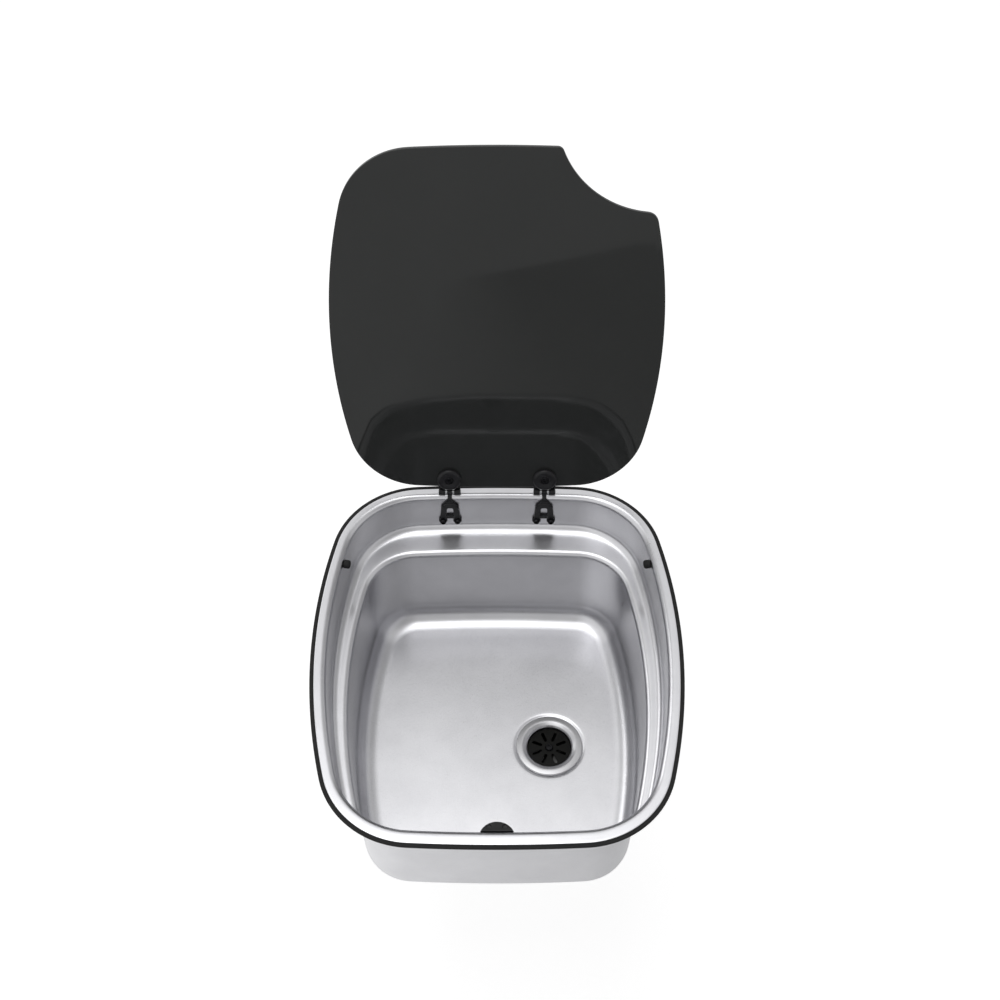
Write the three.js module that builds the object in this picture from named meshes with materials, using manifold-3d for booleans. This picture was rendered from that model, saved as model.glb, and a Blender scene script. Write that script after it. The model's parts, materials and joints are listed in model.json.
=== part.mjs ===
// Inset sink for a camper: a pressed stainless basin with a recessed rim, and a dark tempered glass lid
// on two hinges. The lid stands open, leaning back on its stops.
// Millimetres, +Z up, the tap side and the hinges at +Y. The origin is the centre of the worktop
// cut-out, at the level of the worktop's top face.
import * as THREE from 'three';
import { mergeVertices } from 'three/addons/utils/BufferGeometryUtils.js';
import Module from 'manifold-3d';

const wasm = await Module();
wasm.setup();

// ---- Driving dimensions ----

const SEAT = 0.3;                     // gap between two pieces that touch
const SHEET = 0.8;                    // thickness of the pressed steel

// Plan of the rim: shallow side and end arcs joined by corner arcs.
const RIM_WIDTH = 370;
const RIM_DEPTH = 420;
const RIM_SIDE_RADIUS = 587;
const RIM_END_RADIUS = 1690;
const RIM_CORNER_RADIUS = 92.3;

// Section of the rim and of the recess that the lid closes into. Insets are from the rim's plan.
const GASKET_THICKNESS = 1;
const GASKET_LIP_WIDTH = 3.8;
const GASKET_BEARING = 10;
const SHOULDER_INSET = 9.6;
const FRONT_EXTRA = 3.2;               // more inset at the front, where the rim is widest
const SHOULDER_RADIUS = 6.2;
const RECESS_DEPTH = 50;
const RECESS_DRAFT = 1.2;
const RECESS_FOOT_HEIGHT = 10;         // of the fillet between the recess wall and the ledge
const RECESS_FOOT_FRONT = 3;           // how far that fillet reaches in, at each side
const RECESS_FOOT_SIDE = 8;
const RECESS_FOOT_BACK = 13;
const LEDGE_CORNER_RADIUS = 60;

// The bowl, set forward of the rim's centre.
const LEDGE_FRONT = 30;
const LEDGE_SIDE = 35;
const LEDGE_BACK = 52.5;
const BOWL_SIDE_RADIUS = 551;
const BOWL_END_RADIUS = 1650;
const BOWL_CORNER_RADIUS = 52;
const BOWL_EDGE_RADIUS = 6;
const BOWL_DRAFT = 3;
const BOWL_DEPTH = 162;
const BOWL_FILLET = 22;

// Glass lid, with a concave cut-out for the tap in its free right-hand corner.
const GLASS_THICKNESS = 5;
const LID_INSET = 19.1;
const LID_BACK_EXTRA = 2;              // more inset at the hinges
const TAP_RADIUS = 97.5;
const TAP_X = 153.9;
const TAP_Y = -220.4;
const TAP_FRONT_ROUNDING = 7;
const TAP_SIDE_ROUNDING = 12;

// Hinges.
const OPEN_ANGLE = 109.4;             // degrees from closed to the open stop
const HINGE_SPACING = 100;
const PIVOT_INSET = 11.8;             // from the rim's back edge
const PIVOT_LIFT = 4.3;               // above the rim
const PIN_RADIUS = 2;
const PIN_OVERHANG = 0.6;
const BARREL_RADIUS = 3.6;
const BARREL_WIDTH = 5.4;
const BARE_PIN = 1.8;                  // between the barrel and each knuckle
const KNUCKLE_WIDTH = 6.6;
const STOP_CLEARANCE = 0.35;
const STOP_REACH = 3;
const NECK_THICKNESS = 2.2;
const NECK_WIDTH = 4.4;
const FLARE_TOP = 0.6;                 // above the worktop, where the neck starts to widen
const FLARE_WIDTH = 12;
const BRACKET_THICKNESS = 3;
const BRACKET_TOP = 6.5;              // below the worktop
const HIP_DROP = 13;                  // where the legs stop spreading fast
const HIP_SPREAD = 12.4;
const FOOT_DROP = 34.6;
const FOOT_SPREAD = 15.4;
const FOOT_RADIUS = 4.6;
const LEG_RADIUS = 3.1;
const CROSSBAR_DROP = 29;
const CROSSBAR_HEIGHT = 5;
const CLAMP_RADIUS = 12.3;
const CLAMP_SETBACK = 20.2;           // from the pivot, along the glass
const CLAMP_DISC_THICKNESS = 3.4;
const LEAF_THICKNESS = 3;
const PAD_THICKNESS = 1;
const GLASS_HOLE_RADIUS = 5;
const CLAMP_SCREW_RADIUS = 2.25;
const CLAMP_HEAD_RADIUS = 4.2;
const CLAMP_HEAD_HEIGHT = 1.6;
const BRACKET_SCREW_RADIUS = 1.6;
const BRACKET_HEAD_RADIUS = 3.6;
const BRACKET_HEAD_HEIGHT = 2.2;
const HEAD_TAPER = 0.7;               // a domed head's crown radius over its rim radius
const NUT_RADIUS = 4;
const NUT_HEIGHT = 3.2;
const SCREW_CLEARANCE = 0.3;

// What the closed lid lands on.
const BUFFER_Y = 113;
const BUFFER_RADIUS = 4.5;
const BUFFER_REACH = 7;
const BUFFER_STEM_RADIUS = 1.6;
const BUFFER_TAIL_RADIUS = 2.5;
const BUFFER_TAIL_STANDOFF = 0.6;      // from the back of the sheet, which starts to bend just above
const BUFFER_TAIL_LENGTH = 2;
const REST_WIDTH = 31;
const REST_REACH = 9.8;
const REST_HEIGHT = 9;
const REST_DIMPLE_RADIUS = 2.6;
const REST_DIMPLE_DEPTH = 1.5;
const REST_SCREW_SPREAD = 15;
const REST_SCREW_DROP = 6.4;
const REST_SCREW_RADIUS = 1.5;
const REST_SCREW_LENGTH = 5.5;
const REST_HEAD_RADIUS = 2.6;
const REST_HEAD_HEIGHT = 1.8;

// Waste.
const DRAIN_X = 55.5;
const DRAIN_Y = -13;
const DISH_RADIUS = 38;
const DISH_SLOPE = 2.5;
const DISH_DEPTH = 1.2;
const DRAIN_HOLE_RADIUS = 27;
const FLANGE_RADIUS = 35;
const FLANGE_THICKNESS = 1;
const FLANGE_CROWN_RADIUS = 30;
const FLANGE_FALL = 0.4;              // from the crown to the outer edge
const FLANGE_THROAT_DROP = 1.8;       // from the flange's top to the middle of its dished throat
const FLANGE_BORE_DROP = 2.6;         // from the flange's top to the start of its bore
const FLANGE_UNDERSIDE_DROP = 0.4;    // of the outside of the throat, below the flange's foot
const FLANGE_MOUTH_RADIUS = 28.5;
const FLANGE_BORE_RADIUS = 23.3;
const FLANGE_LIP = 2.8;
const SKIRT_DEPTH = 9.4;              // from the flange's top to the bottom of its lip
const FLOOR_SEAL_THICKNESS = 0.6;
const FLOOR_SEAL_COVER = 1.5;         // how far the flange reaches beyond the seal
const BODY_SEAL_THICKNESS = 1.2;
const STRAINER_THICKNESS = 2.2;
const SLOT_COUNT = 8;
const SLOT_WIDTH = 3.4;
const SLOT_INNER = 8;
const SLOT_OUTER = 19.5;
const HUB_RADIUS = 5.2;
const HUB_LENGTH = 6.8;
const DRAIN_SCREW_RADIUS = 2.2;
const DRAIN_HEAD_RADIUS = 4.6;
const DRAIN_HEAD_HEIGHT = 2;
const BODY_FLANGE_RADIUS = 33.5;
const BODY_FLANGE_THICKNESS = 2.4;
const CUP_WALL = 2.2;
const CUP_DEPTH = 16;
const CUP_CONE = 8;
const BOSS_LENGTH = 11;
const RIB_COUNT = 3;
const RIB_WIDTH = 2.4;
const RIB_HEIGHT = 7;
const SPIGOT_RADIUS = 14;
const SPIGOT_WALL = 2.2;
const SPIGOT_LENGTH = 30.2;
const BARB_COUNT = 3;
const BARB_HEIGHT = 1;
const BARB_PITCH = 7;

// Facets.
const CORNER_STEPS = 9;
const SIDE_STEPS = 4;
const END_STEPS = 2;
const BEND_STEPS = 4;
const SMALL_STEPS = 16;
const LARGE_STEPS = 32;
const MERGE_DISTANCE = 1e-4;

// ---- Worked-out places ----

const rimTop = GASKET_THICKNESS + SEAT + SHEET;
const steelEdge = GASKET_LIP_WIDTH + SEAT;
const wallTopInset = SHOULDER_INSET + SHOULDER_RADIUS;
const wallFootInset = wallTopInset + RECESS_DRAFT;
const openAngle = THREE.MathUtils.degToRad(OPEN_ANGLE);
const pivotY = RIM_DEPTH / 2 - PIVOT_INSET;
const pivotZ = rimTop + PIVOT_LIFT;
const knuckleOffset = BARREL_WIDTH / 2 + BARE_PIN + SEAT;
const knuckleRadius = PIVOT_LIFT - STOP_CLEARANCE;
const bowlFront = -(RIM_DEPTH / 2 - LEDGE_FRONT);
const bowlBack = RIM_DEPTH / 2 - LEDGE_BACK;
const wallFootZ = RECESS_FOOT_HEIGHT - RECESS_DEPTH;
const ledgeFront = FRONT_EXTRA + wallFootInset + RECESS_FOOT_FRONT;
const ledgeSide = wallFootInset + RECESS_FOOT_SIDE;
const ledgeBack = wallFootInset + RECESS_FOOT_BACK;
const dishFloor = -(BOWL_DEPTH + DISH_DEPTH);

const rimPlan = {
  halfWidth: RIM_WIDTH / 2,
  halfDepth: RIM_DEPTH / 2,
  centreY: 0,
  sideRadius: RIM_SIDE_RADIUS,
  endRadius: RIM_END_RADIUS,
  cornerRadius: RIM_CORNER_RADIUS,
};
// The recess and the closed lid follow the rim, but for one edge that is set further in.
const recessPlan = {
  ...rimPlan,
  halfDepth: (RIM_DEPTH - FRONT_EXTRA) / 2,
  centreY: FRONT_EXTRA / 2,
};
const lidPlan = {
  ...rimPlan,
  halfDepth: (RIM_DEPTH - LID_BACK_EXTRA) / 2,
  centreY: -LID_BACK_EXTRA / 2,
};
const ledgePlan = {
  halfWidth: RIM_WIDTH / 2 - ledgeSide,
  halfDepth: (RIM_DEPTH - ledgeFront - ledgeBack) / 2,
  centreY: (ledgeFront - ledgeBack) / 2,
  sideRadius: RIM_SIDE_RADIUS - ledgeSide,
  endRadius: RIM_END_RADIUS - ledgeBack,
  cornerRadius: LEDGE_CORNER_RADIUS,
};
const bowlPlan = {
  halfWidth: RIM_WIDTH / 2 - LEDGE_SIDE,
  halfDepth: (bowlBack - bowlFront) / 2,
  centreY: (bowlFront + bowlBack) / 2,
  sideRadius: BOWL_SIDE_RADIUS,
  endRadius: BOWL_END_RADIUS,
  cornerRadius: BOWL_CORNER_RADIUS,
};

// ---- Solids from three.js geometry ----

function signedVolume(positions, triangles) {
  const a = new THREE.Vector3();
  const b = new THREE.Vector3();
  const c = new THREE.Vector3();
  let total = 0;
  for (let i = 0; i < triangles.length; i += 3) {
    a.fromArray(positions, triangles[i] * 3);
    b.fromArray(positions, triangles[i + 1] * 3);
    c.fromArray(positions, triangles[i + 2] * 3);
    total += a.dot(b.cross(c)) / 6;
  }
  return total;
}

// A closed geometry as a solid: vertices merged, collapsed triangles dropped, faces pointing out.
function solidFrom(geometry) {
  const bare = new THREE.BufferGeometry();
  bare.setAttribute('position', geometry.getAttribute('position').clone());
  if (geometry.index) {
    bare.setIndex(geometry.index.clone());
  }
  const merged = mergeVertices(bare, MERGE_DISTANCE);
  const positions = merged.getAttribute('position').array;
  const triangles = [];
  for (let i = 0; i < merged.index.count; i += 3) {
    const [a, b, c] = [0, 1, 2].map((k) => merged.index.getX(i + k));
    if (a !== b && b !== c && c !== a) {
      triangles.push(a, b, c);
    }
  }
  if (signedVolume(positions, triangles) < 0) {
    triangles.reverse();
  }
  return new wasm.Manifold(new wasm.Mesh({
    numProp: 3,
    vertProperties: new Float32Array(positions),
    triVerts: new Uint32Array(triangles),
  }));
}

function geometryFrom(solid) {
  const mesh = solid.getMesh();
  const geometry = new THREE.BufferGeometry();
  geometry.setAttribute('position', new THREE.BufferAttribute(new Float32Array(mesh.vertProperties), 3));
  geometry.setIndex(new THREE.BufferAttribute(new Uint32Array(mesh.triVerts), 1));
  geometry.computeVertexNormals();
  return geometry;
}

function join(...solids) {
  return solids.reduce((whole, next) => whole.add(next));
}

function cut(solid, ...tools) {
  return tools.reduce((rest, tool) => rest.subtract(tool), solid);
}

// Turns a shape drawn along Z so that it runs along the axis: its own x and y become the axis's
// other two directions, in the order x, y, z.
function alignTo(axis, geometry) {
  const basis = new THREE.Matrix4();
  const [x, y, z] = [new THREE.Vector3(1, 0, 0), new THREE.Vector3(0, 1, 0), new THREE.Vector3(0, 0, 1)];
  if (axis === 'x') {
    basis.makeBasis(y, z, x);
  }
  if (axis === 'y') {
    basis.makeBasis(x, z, y);
  }
  return geometry.applyMatrix4(basis);
}

// A round or tapered bar along an axis from start to end. The centre gives the other two coordinates.
function bar(axis, radius, start, end, centre, steps = SMALL_STEPS, endRadius = radius) {
  const geometry = new THREE.CylinderGeometry(endRadius, radius, end - start, steps);
  geometry.rotateX(Math.PI / 2);
  geometry.translate(centre[0], centre[1], (start + end) / 2);
  return solidFrom(alignTo(axis, geometry));
}

// A prism along an axis from start to end, over an outline in the other two coordinates.
function prism(axis, outline, start, end) {
  const shape = new THREE.Shape(outline.map(([u, v]) => new THREE.Vector2(u, v)));
  const geometry = new THREE.ExtrudeGeometry(shape, { depth: end - start, bevelEnabled: false });
  geometry.translate(0, 0, start);
  return solidFrom(alignTo(axis, geometry));
}

// A turned piece about the Z axis, from a closed profile of radius and height.
function turned(profile, steps = LARGE_STEPS) {
  const points = profile.map(([radius, height]) => new THREE.Vector2(radius, height));
  const geometry = new THREE.LatheGeometry([...points, points[0].clone()], steps);
  geometry.rotateX(Math.PI / 2);
  return solidFrom(geometry);
}

// A solid through a stack of rings with equally many points, closed at both ends.
function loft(rings) {
  const positions = [];
  const indices = [];
  const count = rings[0].length;
  for (const ring of rings) {
    for (const point of ring) {
      positions.push(point.x, point.y, point.z);
    }
  }
  for (let level = 0; level + 1 < rings.length; level += 1) {
    for (let i = 0; i < count; i += 1) {
      const next = (i + 1) % count;
      const low = level * count;
      const high = low + count;
      indices.push(low + i, low + next, high + next);
      indices.push(low + i, high + next, high + i);
    }
  }
  const last = (rings.length - 1) * count;
  for (let i = 1; i + 1 < count; i += 1) {
    indices.push(0, i + 1, i);
    indices.push(last, last + i, last + i + 1);
  }
  const geometry = new THREE.BufferGeometry();
  geometry.setAttribute('position', new THREE.Float32BufferAttribute(positions, 3));
  geometry.setIndex(indices);
  return solidFrom(geometry);
}

// ---- Plan outlines ----

function arcPoints(centre, radius, from, to, steps) {
  const points = [];
  for (let i = 0; i <= steps; i += 1) {
    const angle = from + ((to - from) * i) / steps;
    points.push([centre[0] + radius * Math.cos(angle), centre[1] + radius * Math.sin(angle)]);
  }
  return points;
}

// Where two circles meet, on the right-hand side of the line from the first centre to the second.
function circlesMeet(first, firstRadius, second, secondRadius) {
  const between = Math.hypot(second[0] - first[0], second[1] - first[1]);
  const along = (firstRadius ** 2 - secondRadius ** 2 + between ** 2) / (2 * between);
  const across = Math.sqrt(firstRadius ** 2 - along ** 2);
  const ux = (second[0] - first[0]) / between;
  const uy = (second[1] - first[1]) / between;
  return [first[0] + ux * along + uy * across, first[1] + uy * along - ux * across];
}

// The arcs of a plan's right back quarter. A parallel outline keeps their centres and angles.
function quarterArcs(plan) {
  const side = [plan.halfWidth - plan.sideRadius, 0];
  const end = [0, plan.halfDepth - plan.endRadius];
  const corner = circlesMeet(
    end,
    plan.endRadius - plan.cornerRadius,
    side,
    plan.sideRadius - plan.cornerRadius,
  );
  const sideAngle = Math.atan2(corner[1] - side[1], corner[0] - side[0]);
  const endAngle = Math.atan2(corner[1] - end[1], corner[0] - end[0]);
  return { side, end, corner, sideAngle, endAngle };
}

// The right back quarter of an outline, inset from the plan, from the side's middle to the end's middle.
function quarterOutline(plan, inset) {
  const arcs = quarterArcs(plan);
  const sideArc = arcPoints(arcs.side, plan.sideRadius - inset, 0, arcs.sideAngle, SIDE_STEPS);
  const cornerArc = arcPoints(
    arcs.corner,
    plan.cornerRadius - inset,
    arcs.sideAngle,
    arcs.endAngle,
    CORNER_STEPS,
  );
  const endArc = arcPoints(arcs.end, plan.endRadius - inset, arcs.endAngle, Math.PI / 2, END_STEPS);
  return [...sideArc.slice(0, -1), ...cornerArc.slice(0, -1), ...endArc];
}

// A whole outline, anticlockwise seen from above, starting at the middle of the right-hand side.
function outline(plan, inset) {
  const quarter = quarterOutline(plan, inset);
  const back = quarter.slice(0, -1);
  const leftBack = quarter.slice(1).reverse().map(([x, y]) => [-x, y]);
  const leftFront = back.map(([x, y]) => [-x, -y]);
  const front = quarter.slice(1).reverse().map(([x, y]) => [x, -y]);
  return [...back, ...leftBack, ...leftFront, ...front].map(([x, y]) => [x, y + plan.centreY]);
}

function ring(plan, inset, z) {
  return outline(plan, inset).map(([x, y]) => new THREE.Vector3(x, y, z));
}

// Where the back of an outline of the rim or the recess lies at x.
function backY(inset, x) {
  const arcs = quarterArcs(rimPlan);
  return arcs.end[1] + Math.sqrt((RIM_END_RADIUS - inset) ** 2 - x ** 2);
}

// Where the front of an outline of the recess lies at x.
function frontY(inset, x) {
  return FRONT_EXTRA - backY(inset, x);
}

// The inset of the recess wall's inner face at a height.
function recessInset(z) {
  const top = rimTop - SHOULDER_RADIUS;
  return wallTopInset + (RECESS_DRAFT * (top - z)) / (top - wallFootZ);
}

// ---- Basin ----

// The rings of one face of a bend, from the angle of its first ring to the angle of its last. Angles
// are in the section, where 0 points into the basin and a quarter turn points up.
function bendRings(plan, inset, z, radius, from, to) {
  const rings = [];
  for (let i = 0; i <= BEND_STEPS; i += 1) {
    const angle = from + ((to - from) * i) / BEND_STEPS;
    rings.push(ring(plan, inset + radius * Math.cos(angle), z + radius * Math.sin(angle)));
  }
  return rings;
}

// The rings of the fillet between the recess wall and the ledge. It is the same height all round, but
// it reaches in furthest at the back, where the ledge is deepest.
function recessFootRings(depth) {
  const wall = ring(recessPlan, wallFootInset - depth, wallFootZ);
  const ledge = ring(ledgePlan, 0, wallFootZ);
  const rings = [];
  for (let i = 0; i <= BEND_STEPS; i += 1) {
    const angle = (i * Math.PI) / (2 * BEND_STEPS);
    const z = wallFootZ - (RECESS_FOOT_HEIGHT + depth) * Math.sin(angle);
    rings.push(wall.map((point, k) => point.clone().lerp(ledge[k], 1 - Math.cos(angle)).setZ(z)));
  }
  return rings;
}

// Rings down one face of the sheet, from the rim to the bowl's floor. The depth is how far the face
// lies into or behind the sheet, measured square to its upper face.
function basinRings(depth) {
  const shoulder = bendRings(
    recessPlan, SHOULDER_INSET, rimTop - SHOULDER_RADIUS, SHOULDER_RADIUS - depth, Math.PI / 2, 0,
  );
  const bowlEdge = bendRings(
    bowlPlan, -BOWL_EDGE_RADIUS, -RECESS_DEPTH - BOWL_EDGE_RADIUS, BOWL_EDGE_RADIUS - depth,
    Math.PI / 2, 0,
  );
  const bowlFoot = bendRings(
    bowlPlan, BOWL_DRAFT + BOWL_FILLET, BOWL_FILLET - BOWL_DEPTH, BOWL_FILLET + depth,
    Math.PI, Math.PI * 1.5,
  );
  return [...shoulder, ...recessFootRings(depth), ...bowlEdge, ...bowlFoot];
}

// The room inside the recess, clear of its wall by a gap.
function recessRoom(gap) {
  const top = rimTop + SHOULDER_RADIUS;
  const shoulder = bendRings(
    recessPlan, SHOULDER_INSET, rimTop - SHOULDER_RADIUS, SHOULDER_RADIUS + gap, Math.PI / 2, 0,
  );
  return loft([
    ring(recessPlan, SHOULDER_INSET, top),
    ...shoulder,
    ring(recessPlan, wallFootInset + gap, wallFootZ),
  ]);
}

// The X of a bracket's two feet.
function bracketFeet(centreX) {
  return [-1, 1].map((side) => centreX + (side * FOOT_SPREAD) / 2);
}

// The outward direction and the wall point of the buffer on the right-hand side.
function bufferSeat() {
  const arcs = quarterArcs(rimPlan);
  const drop = BUFFER_RADIUS + SEAT;
  const radius = RIM_SIDE_RADIUS - recessInset(-drop);
  const angle = Math.asin((BUFFER_Y - recessPlan.centreY) / radius);
  return { angle, x: arcs.side[0] + radius * Math.cos(angle), y: BUFFER_Y, z: -drop };
}

// A tool for the hole that a buffer's stem passes through.
function bufferHole(side) {
  const seat = bufferSeat();
  const radius = BUFFER_STEM_RADIUS + SEAT;
  const reach = SHEET * 4;
  const geometry = new THREE.CylinderGeometry(radius, radius, reach * 2, SMALL_STEPS);
  geometry.rotateZ(Math.PI / 2 + side * seat.angle);
  geometry.translate(side * seat.x, seat.y, seat.z);
  return solidFrom(geometry);
}

// The X of the front rest's two screws.
function restScrewPlaces() {
  return [-1, 1].map((side) => (side * REST_SCREW_SPREAD) / 2);
}

function basin() {
  const underside = loft([
    ring(rimPlan, steelEdge, rimTop),
    ring(rimPlan, steelEdge, rimTop - SHEET),
    ...basinRings(SHEET),
  ]);
  const top = rimTop + SHEET;
  const hollow = loft([ring(recessPlan, SHOULDER_INSET, top), ...basinRings(0)]);
  const drain = [DRAIN_X, DRAIN_Y];
  const dishFoot = DISH_RADIUS - DISH_SLOPE;
  const dishOutside = bar(
    'z', dishFoot + SHEET, dishFloor - SHEET, -BOWL_DEPTH, drain, LARGE_STEPS, DISH_RADIUS + SHEET,
  );
  const dishInside = bar('z', dishFoot, dishFloor, -BOWL_DEPTH, drain, LARGE_STEPS, DISH_RADIUS);
  const dishMouth = bar('z', DISH_RADIUS, -BOWL_DEPTH, SHEET - BOWL_DEPTH, drain, LARGE_STEPS);
  const drainHole = bar(
    'z', DRAIN_HOLE_RADIUS, dishFloor - SHEET * 2, dishFloor + SHEET, drain, LARGE_STEPS,
  );
  const shell = cut(join(underside, dishOutside), hollow, dishInside, dishMouth, drainHole);
  const holes = [bufferHole(-1), bufferHole(1)];
  for (const centreX of [-HINGE_SPACING / 2, HINGE_SPACING / 2]) {
    for (const x of bracketFeet(centreX)) {
      const wall = backY(recessInset(-FOOT_DROP), x);
      const radius = BRACKET_SCREW_RADIUS + SCREW_CLEARANCE;
      holes.push(bar('y', radius, wall - SHEET * 2, wall + SHEET * 3, [x, -FOOT_DROP]));
    }
  }
  for (const x of restScrewPlaces()) {
    const wall = frontY(recessInset(-REST_SCREW_DROP), x);
    const radius = REST_SCREW_RADIUS + SCREW_CLEARANCE;
    holes.push(bar('y', radius, wall - SHEET * 3, wall + SHEET * 2, [x, -REST_SCREW_DROP]));
  }
  return cut(shell, ...holes);
}

// An L-section seal: a flat bearing under the rim and a lip that stands round its edge.
function rimGasket() {
  const lip = loft([ring(rimPlan, 0, rimTop - SEAT), ring(rimPlan, 0, 0)]);
  const behindLip = loft([
    ring(rimPlan, GASKET_LIP_WIDTH, rimTop + SEAT),
    ring(rimPlan, GASKET_LIP_WIDTH, GASKET_THICKNESS),
  ]);
  const opening = loft([
    ring(rimPlan, GASKET_BEARING, rimTop),
    ring(rimPlan, GASKET_BEARING, -GASKET_THICKNESS),
  ]);
  return cut(lip, behindLip, opening);
}

// ---- Lid, drawn closed: the glass lies between z = 0 and its thickness ----

// The lid's right front quarter, from the front's middle to the side's middle: the plain outline's
// two arcs, broken by the tap cut-out and by a small rounding at each end of it.
function tapQuarter() {
  const arcs = quarterArcs(lidPlan);
  const tap = [TAP_X, lidPlan.centreY - TAP_Y];
  const sideRadius = RIM_SIDE_RADIUS - LID_INSET;
  const endRadius = RIM_END_RADIUS - LID_INSET;
  const endRounding = circlesMeet(
    tap, TAP_RADIUS + TAP_FRONT_ROUNDING, arcs.end, endRadius - TAP_FRONT_ROUNDING,
  );
  const sideRounding = circlesMeet(
    arcs.side, sideRadius - TAP_SIDE_ROUNDING, tap, TAP_RADIUS + TAP_SIDE_ROUNDING,
  );
  const angleFrom = (centre, point) => Math.atan2(point[1] - centre[1], point[0] - centre[0]);
  const endTangent = angleFrom(arcs.end, endRounding);
  const sideTangent = angleFrom(arcs.side, sideRounding);
  const tapFromEnd = angleFrom(tap, endRounding);
  const tapFromSide = angleFrom(tap, sideRounding);
  const points = [
    ...arcPoints(arcs.end, endRadius, Math.PI / 2, endTangent, END_STEPS),
    ...arcPoints(endRounding, TAP_FRONT_ROUNDING, endTangent, tapFromEnd + Math.PI, BEND_STEPS).slice(1),
    ...arcPoints(tap, TAP_RADIUS, tapFromEnd, tapFromSide, CORNER_STEPS).slice(1),
    ...arcPoints(sideRounding, TAP_SIDE_ROUNDING, tapFromSide + Math.PI, sideTangent, BEND_STEPS).slice(1),
    ...arcPoints(arcs.side, sideRadius, sideTangent, 0, SIDE_STEPS).slice(1),
  ];
  return points.map(([x, y]) => [x, lidPlan.centreY - y]);
}

function glassLid() {
  const whole = outline(lidPlan, LID_INSET);
  const withoutRightFront = whole.filter(([x, y]) => x <= 0 || y >= lidPlan.centreY);
  const points = [...withoutRightFront, ...tapQuarter().slice(1, -1)];
  const glass = prism('z', points, 0, GLASS_THICKNESS);
  const holes = [-1, 1].map((side) => {
    const centre = [(side * HINGE_SPACING) / 2, pivotY - CLAMP_SETBACK];
    return bar('z', GLASS_HOLE_RADIUS, -SEAT, GLASS_THICKNESS + SEAT, centre, LARGE_STEPS / 2);
  });
  return cut(glass, ...holes);
}

// ---- Hinge, at its own centre line ----

// The steel pin is tight in the bracket's barrel, and the lid's knuckles turn on it.
function hingePin(centreX) {
  const reach = knuckleOffset + KNUCKLE_WIDTH + PIN_OVERHANG;
  return bar('x', PIN_RADIUS, centreX - reach, centreX + reach, [pivotY, pivotZ]);
}

function pinHole(centreX) {
  const reach = knuckleOffset + KNUCKLE_WIDTH + SEAT;
  return bar('x', PIN_RADIUS + SEAT, centreX - reach, centreX + reach, [pivotY, pivotZ]);
}

// A flat bar with round ends between two points of the bracket's front view.
function link(from, to, radius) {
  const angle = Math.atan2(to[1] - from[1], to[0] - from[0]);
  const half = SMALL_STEPS / 2;
  return [
    ...arcPoints(from, radius, angle + Math.PI / 2, angle + Math.PI * 1.5, half),
    ...arcPoints(to, radius, angle - Math.PI / 2, angle + Math.PI / 2, half),
  ];
}

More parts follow.
